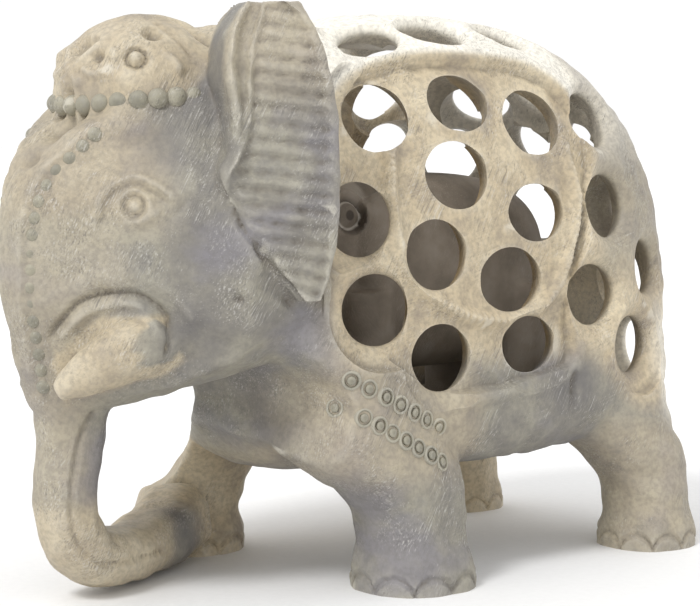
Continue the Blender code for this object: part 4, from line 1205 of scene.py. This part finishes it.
def stone_material():
    """Matt soapstone: grey-beige clouds with lilac veins, cream in the lattice and as painted fill light on
    shaded parts, amber in its depth.
    """
    n = Nodes("soapstone_carved")
    tones = n.tree.nodes.new("ShaderNodeAttribute")
    tones.attribute_name = "tones"
    split = n.node("ShaderNodeSeparateColor", Color=tones.outputs["Color"])
    cream_and_fill_share, deep_share, rail_and_fill_share = [split.outputs[name] for name in ("Red", "Green", "Blue")]
    clouds = n.ramp(n.noise(n.place, 75.0, 6.0, 0.65), (
        (0.34, (0.165, 0.155, 0.145, 1)), (0.46, (0.225, 0.210, 0.180, 1)),
        (0.56, (0.300, 0.280, 0.225, 1)), (0.68, (0.230, 0.220, 0.200, 1))))
    veins = n.mapped(n.place, Scale=(45.0, 60.0, 80.0), Rotation=(0.4, 0.0, 0.3))
    lilac = n.ramp(n.noise(veins, 1.0, 4.0), ((0.52, 0.0), (0.64, 0.8)))
    clouds = n.mix(lilac, clouds, (0.205, 0.195, 0.210, 1))
    cream = n.ramp(n.noise(n.place, 95.0, 5.0, 0.6), (
        (0.34, (0.330, 0.275, 0.205, 1)), (0.48, (0.520, 0.430, 0.290, 1)), (0.66, (0.640, 0.550, 0.390, 1))))
    # Cream over the lattice, and as painted fill light on shaded parts
    colour = n.mix(cream_and_fill_share, clouds, cream)
    # Near white on the rail, and painted fill light on the shaded hind
    colour = n.mix(rail_and_fill_share, colour, (0.900, 0.860, 0.760, 1))
    return stone_surface(n, n.mix(deep_share, colour, (0.420, 0.300, 0.150, 1)))


def bead_material():
    """The greenish cream stone of the bead rows."""
    n = Nodes("soapstone_beads")
    colour = n.ramp(n.noise(n.place, 160.0, 4.0), (
        (0.38, (0.18, 0.17, 0.125, 1)), (0.62, (0.32, 0.295, 0.215, 1))))
    return stone_surface(n, colour)


def eye_distance(n):
    """Distance to the inner elephant's nearer eye, as a share of the reach of its markings."""
    split = n.node("ShaderNodeSeparateXYZ", Vector=n.place)
    folded = n.node("ShaderNodeMath", Value=split.outputs["X"])
    folded.operation = 'ABSOLUTE'
    place = n.node("ShaderNodeCombineXYZ", X=folded.outputs["Value"], Y=split.outputs["Y"], Z=split.outputs["Z"])
    away = n.node("ShaderNodeVectorMath", Vector=place.outputs["Vector"])
    away.operation = 'DISTANCE'
    away.inputs[1].default_value = (Vector(INNER_EYE_PUPIL) + TO_CAD) * MM
    share = n.node("ShaderNodeMath", Value=away.outputs["Value"])
    share.operation = 'DIVIDE'
    share.inputs[1].default_value = INNER_EYE_REACH * MM
    return share.outputs["Value"]


def dark_stone_material():
    """The darker green-brown stone of the inner elephant."""
    n = Nodes("soapstone_dark")
    colour = n.ramp(n.noise(n.place, 110.0, 5.0), (
        (0.35, (0.150, 0.122, 0.092, 1)), (0.52, (0.245, 0.205, 0.160, 1)), (0.68, (0.335, 0.290, 0.240, 1))))
    marks = scratches(n)
    colour = n.mix(n.ramp(marks, ((0.53, 0.0), (0.62, 0.4))), colour, (0.38, 0.35, 0.30, 1))
    away = eye_distance(n)
    colour = n.mix(n.ramp(away, INNER_EYE_DARK), colour, (0.030, 0.020, 0.016, 1))
    colour = n.mix(n.ramp(away, INNER_EYE_PALE), colour, (0.62, 0.58, 0.52, 1))
    return n.finished(colour, 0.6, n.bump(marks, 0.5, 0.0004))


def floor_material():
    """Matt pale paper with a faint tooth."""
    n = Nodes("studio_floor")
    tooth = n.noise(n.place, 900.0, 3.0)
    return n.finished(n.ramp(tooth, ((0.3, 0.86), (0.7, 0.89))), 0.85)


def make_floor():
    shape = bmesh.new()
    bmesh.ops.create_grid(shape, x_segments=1, y_segments=1, size=FLOOR_HALF)
    floor = object_from_bmesh("floor", shape)
    floor.data.materials.append(floor_material())


def make_camera():
    camera = new_object("camera", bpy.data.cameras.new("camera"))
    camera.data.sensor_width = SENSOR_WIDTH
    camera.data.lens = CAMERA_LENS
    camera.data.clip_start = 0.005
    camera.location = (CAMERA_PLACE + TO_CAD) * MM
    level = math.cos(CAMERA_DOWN)
    forward = Vector((-math.sin(CAMERA_TURN) * level, math.cos(CAMERA_TURN) * level, -math.sin(CAMERA_DOWN)))
    camera.rotation_euler = forward.to_track_quat('-Z', 'Y').to_euler()
    bpy.context.scene.camera = camera


def make_lights():
    """A white room and one broad soft light from the upper front left of the picture."""
    data = bpy.data.lights.new("key", 'SUN')
    data.energy = SUN_POWER
    data.angle = SUN_WIDTH
    light = new_object("key", data)
    light.rotation_euler = (-SUN_FROM).to_track_quat('-Z', 'Y').to_euler()
    world = bpy.data.worlds.new("studio")
    world.use_nodes = True
    backdrop = world.node_tree.nodes["Background"]
    backdrop.inputs["Color"].default_value = (1.0, 1.0, 1.0, 1.0)
    backdrop.inputs["Strength"].default_value = WORLD_POWER
    bpy.context.scene.world = world
    bpy.context.scene.view_settings.view_transform = 'Standard'


make_camera()
make_lights()
make_floor()
stone = stone_material()
elephant = outer_elephant(stone)
bead_rows(elephant, bead_material())
inner_elephant(dark_stone_material())
bpy.context.view_layer.update()
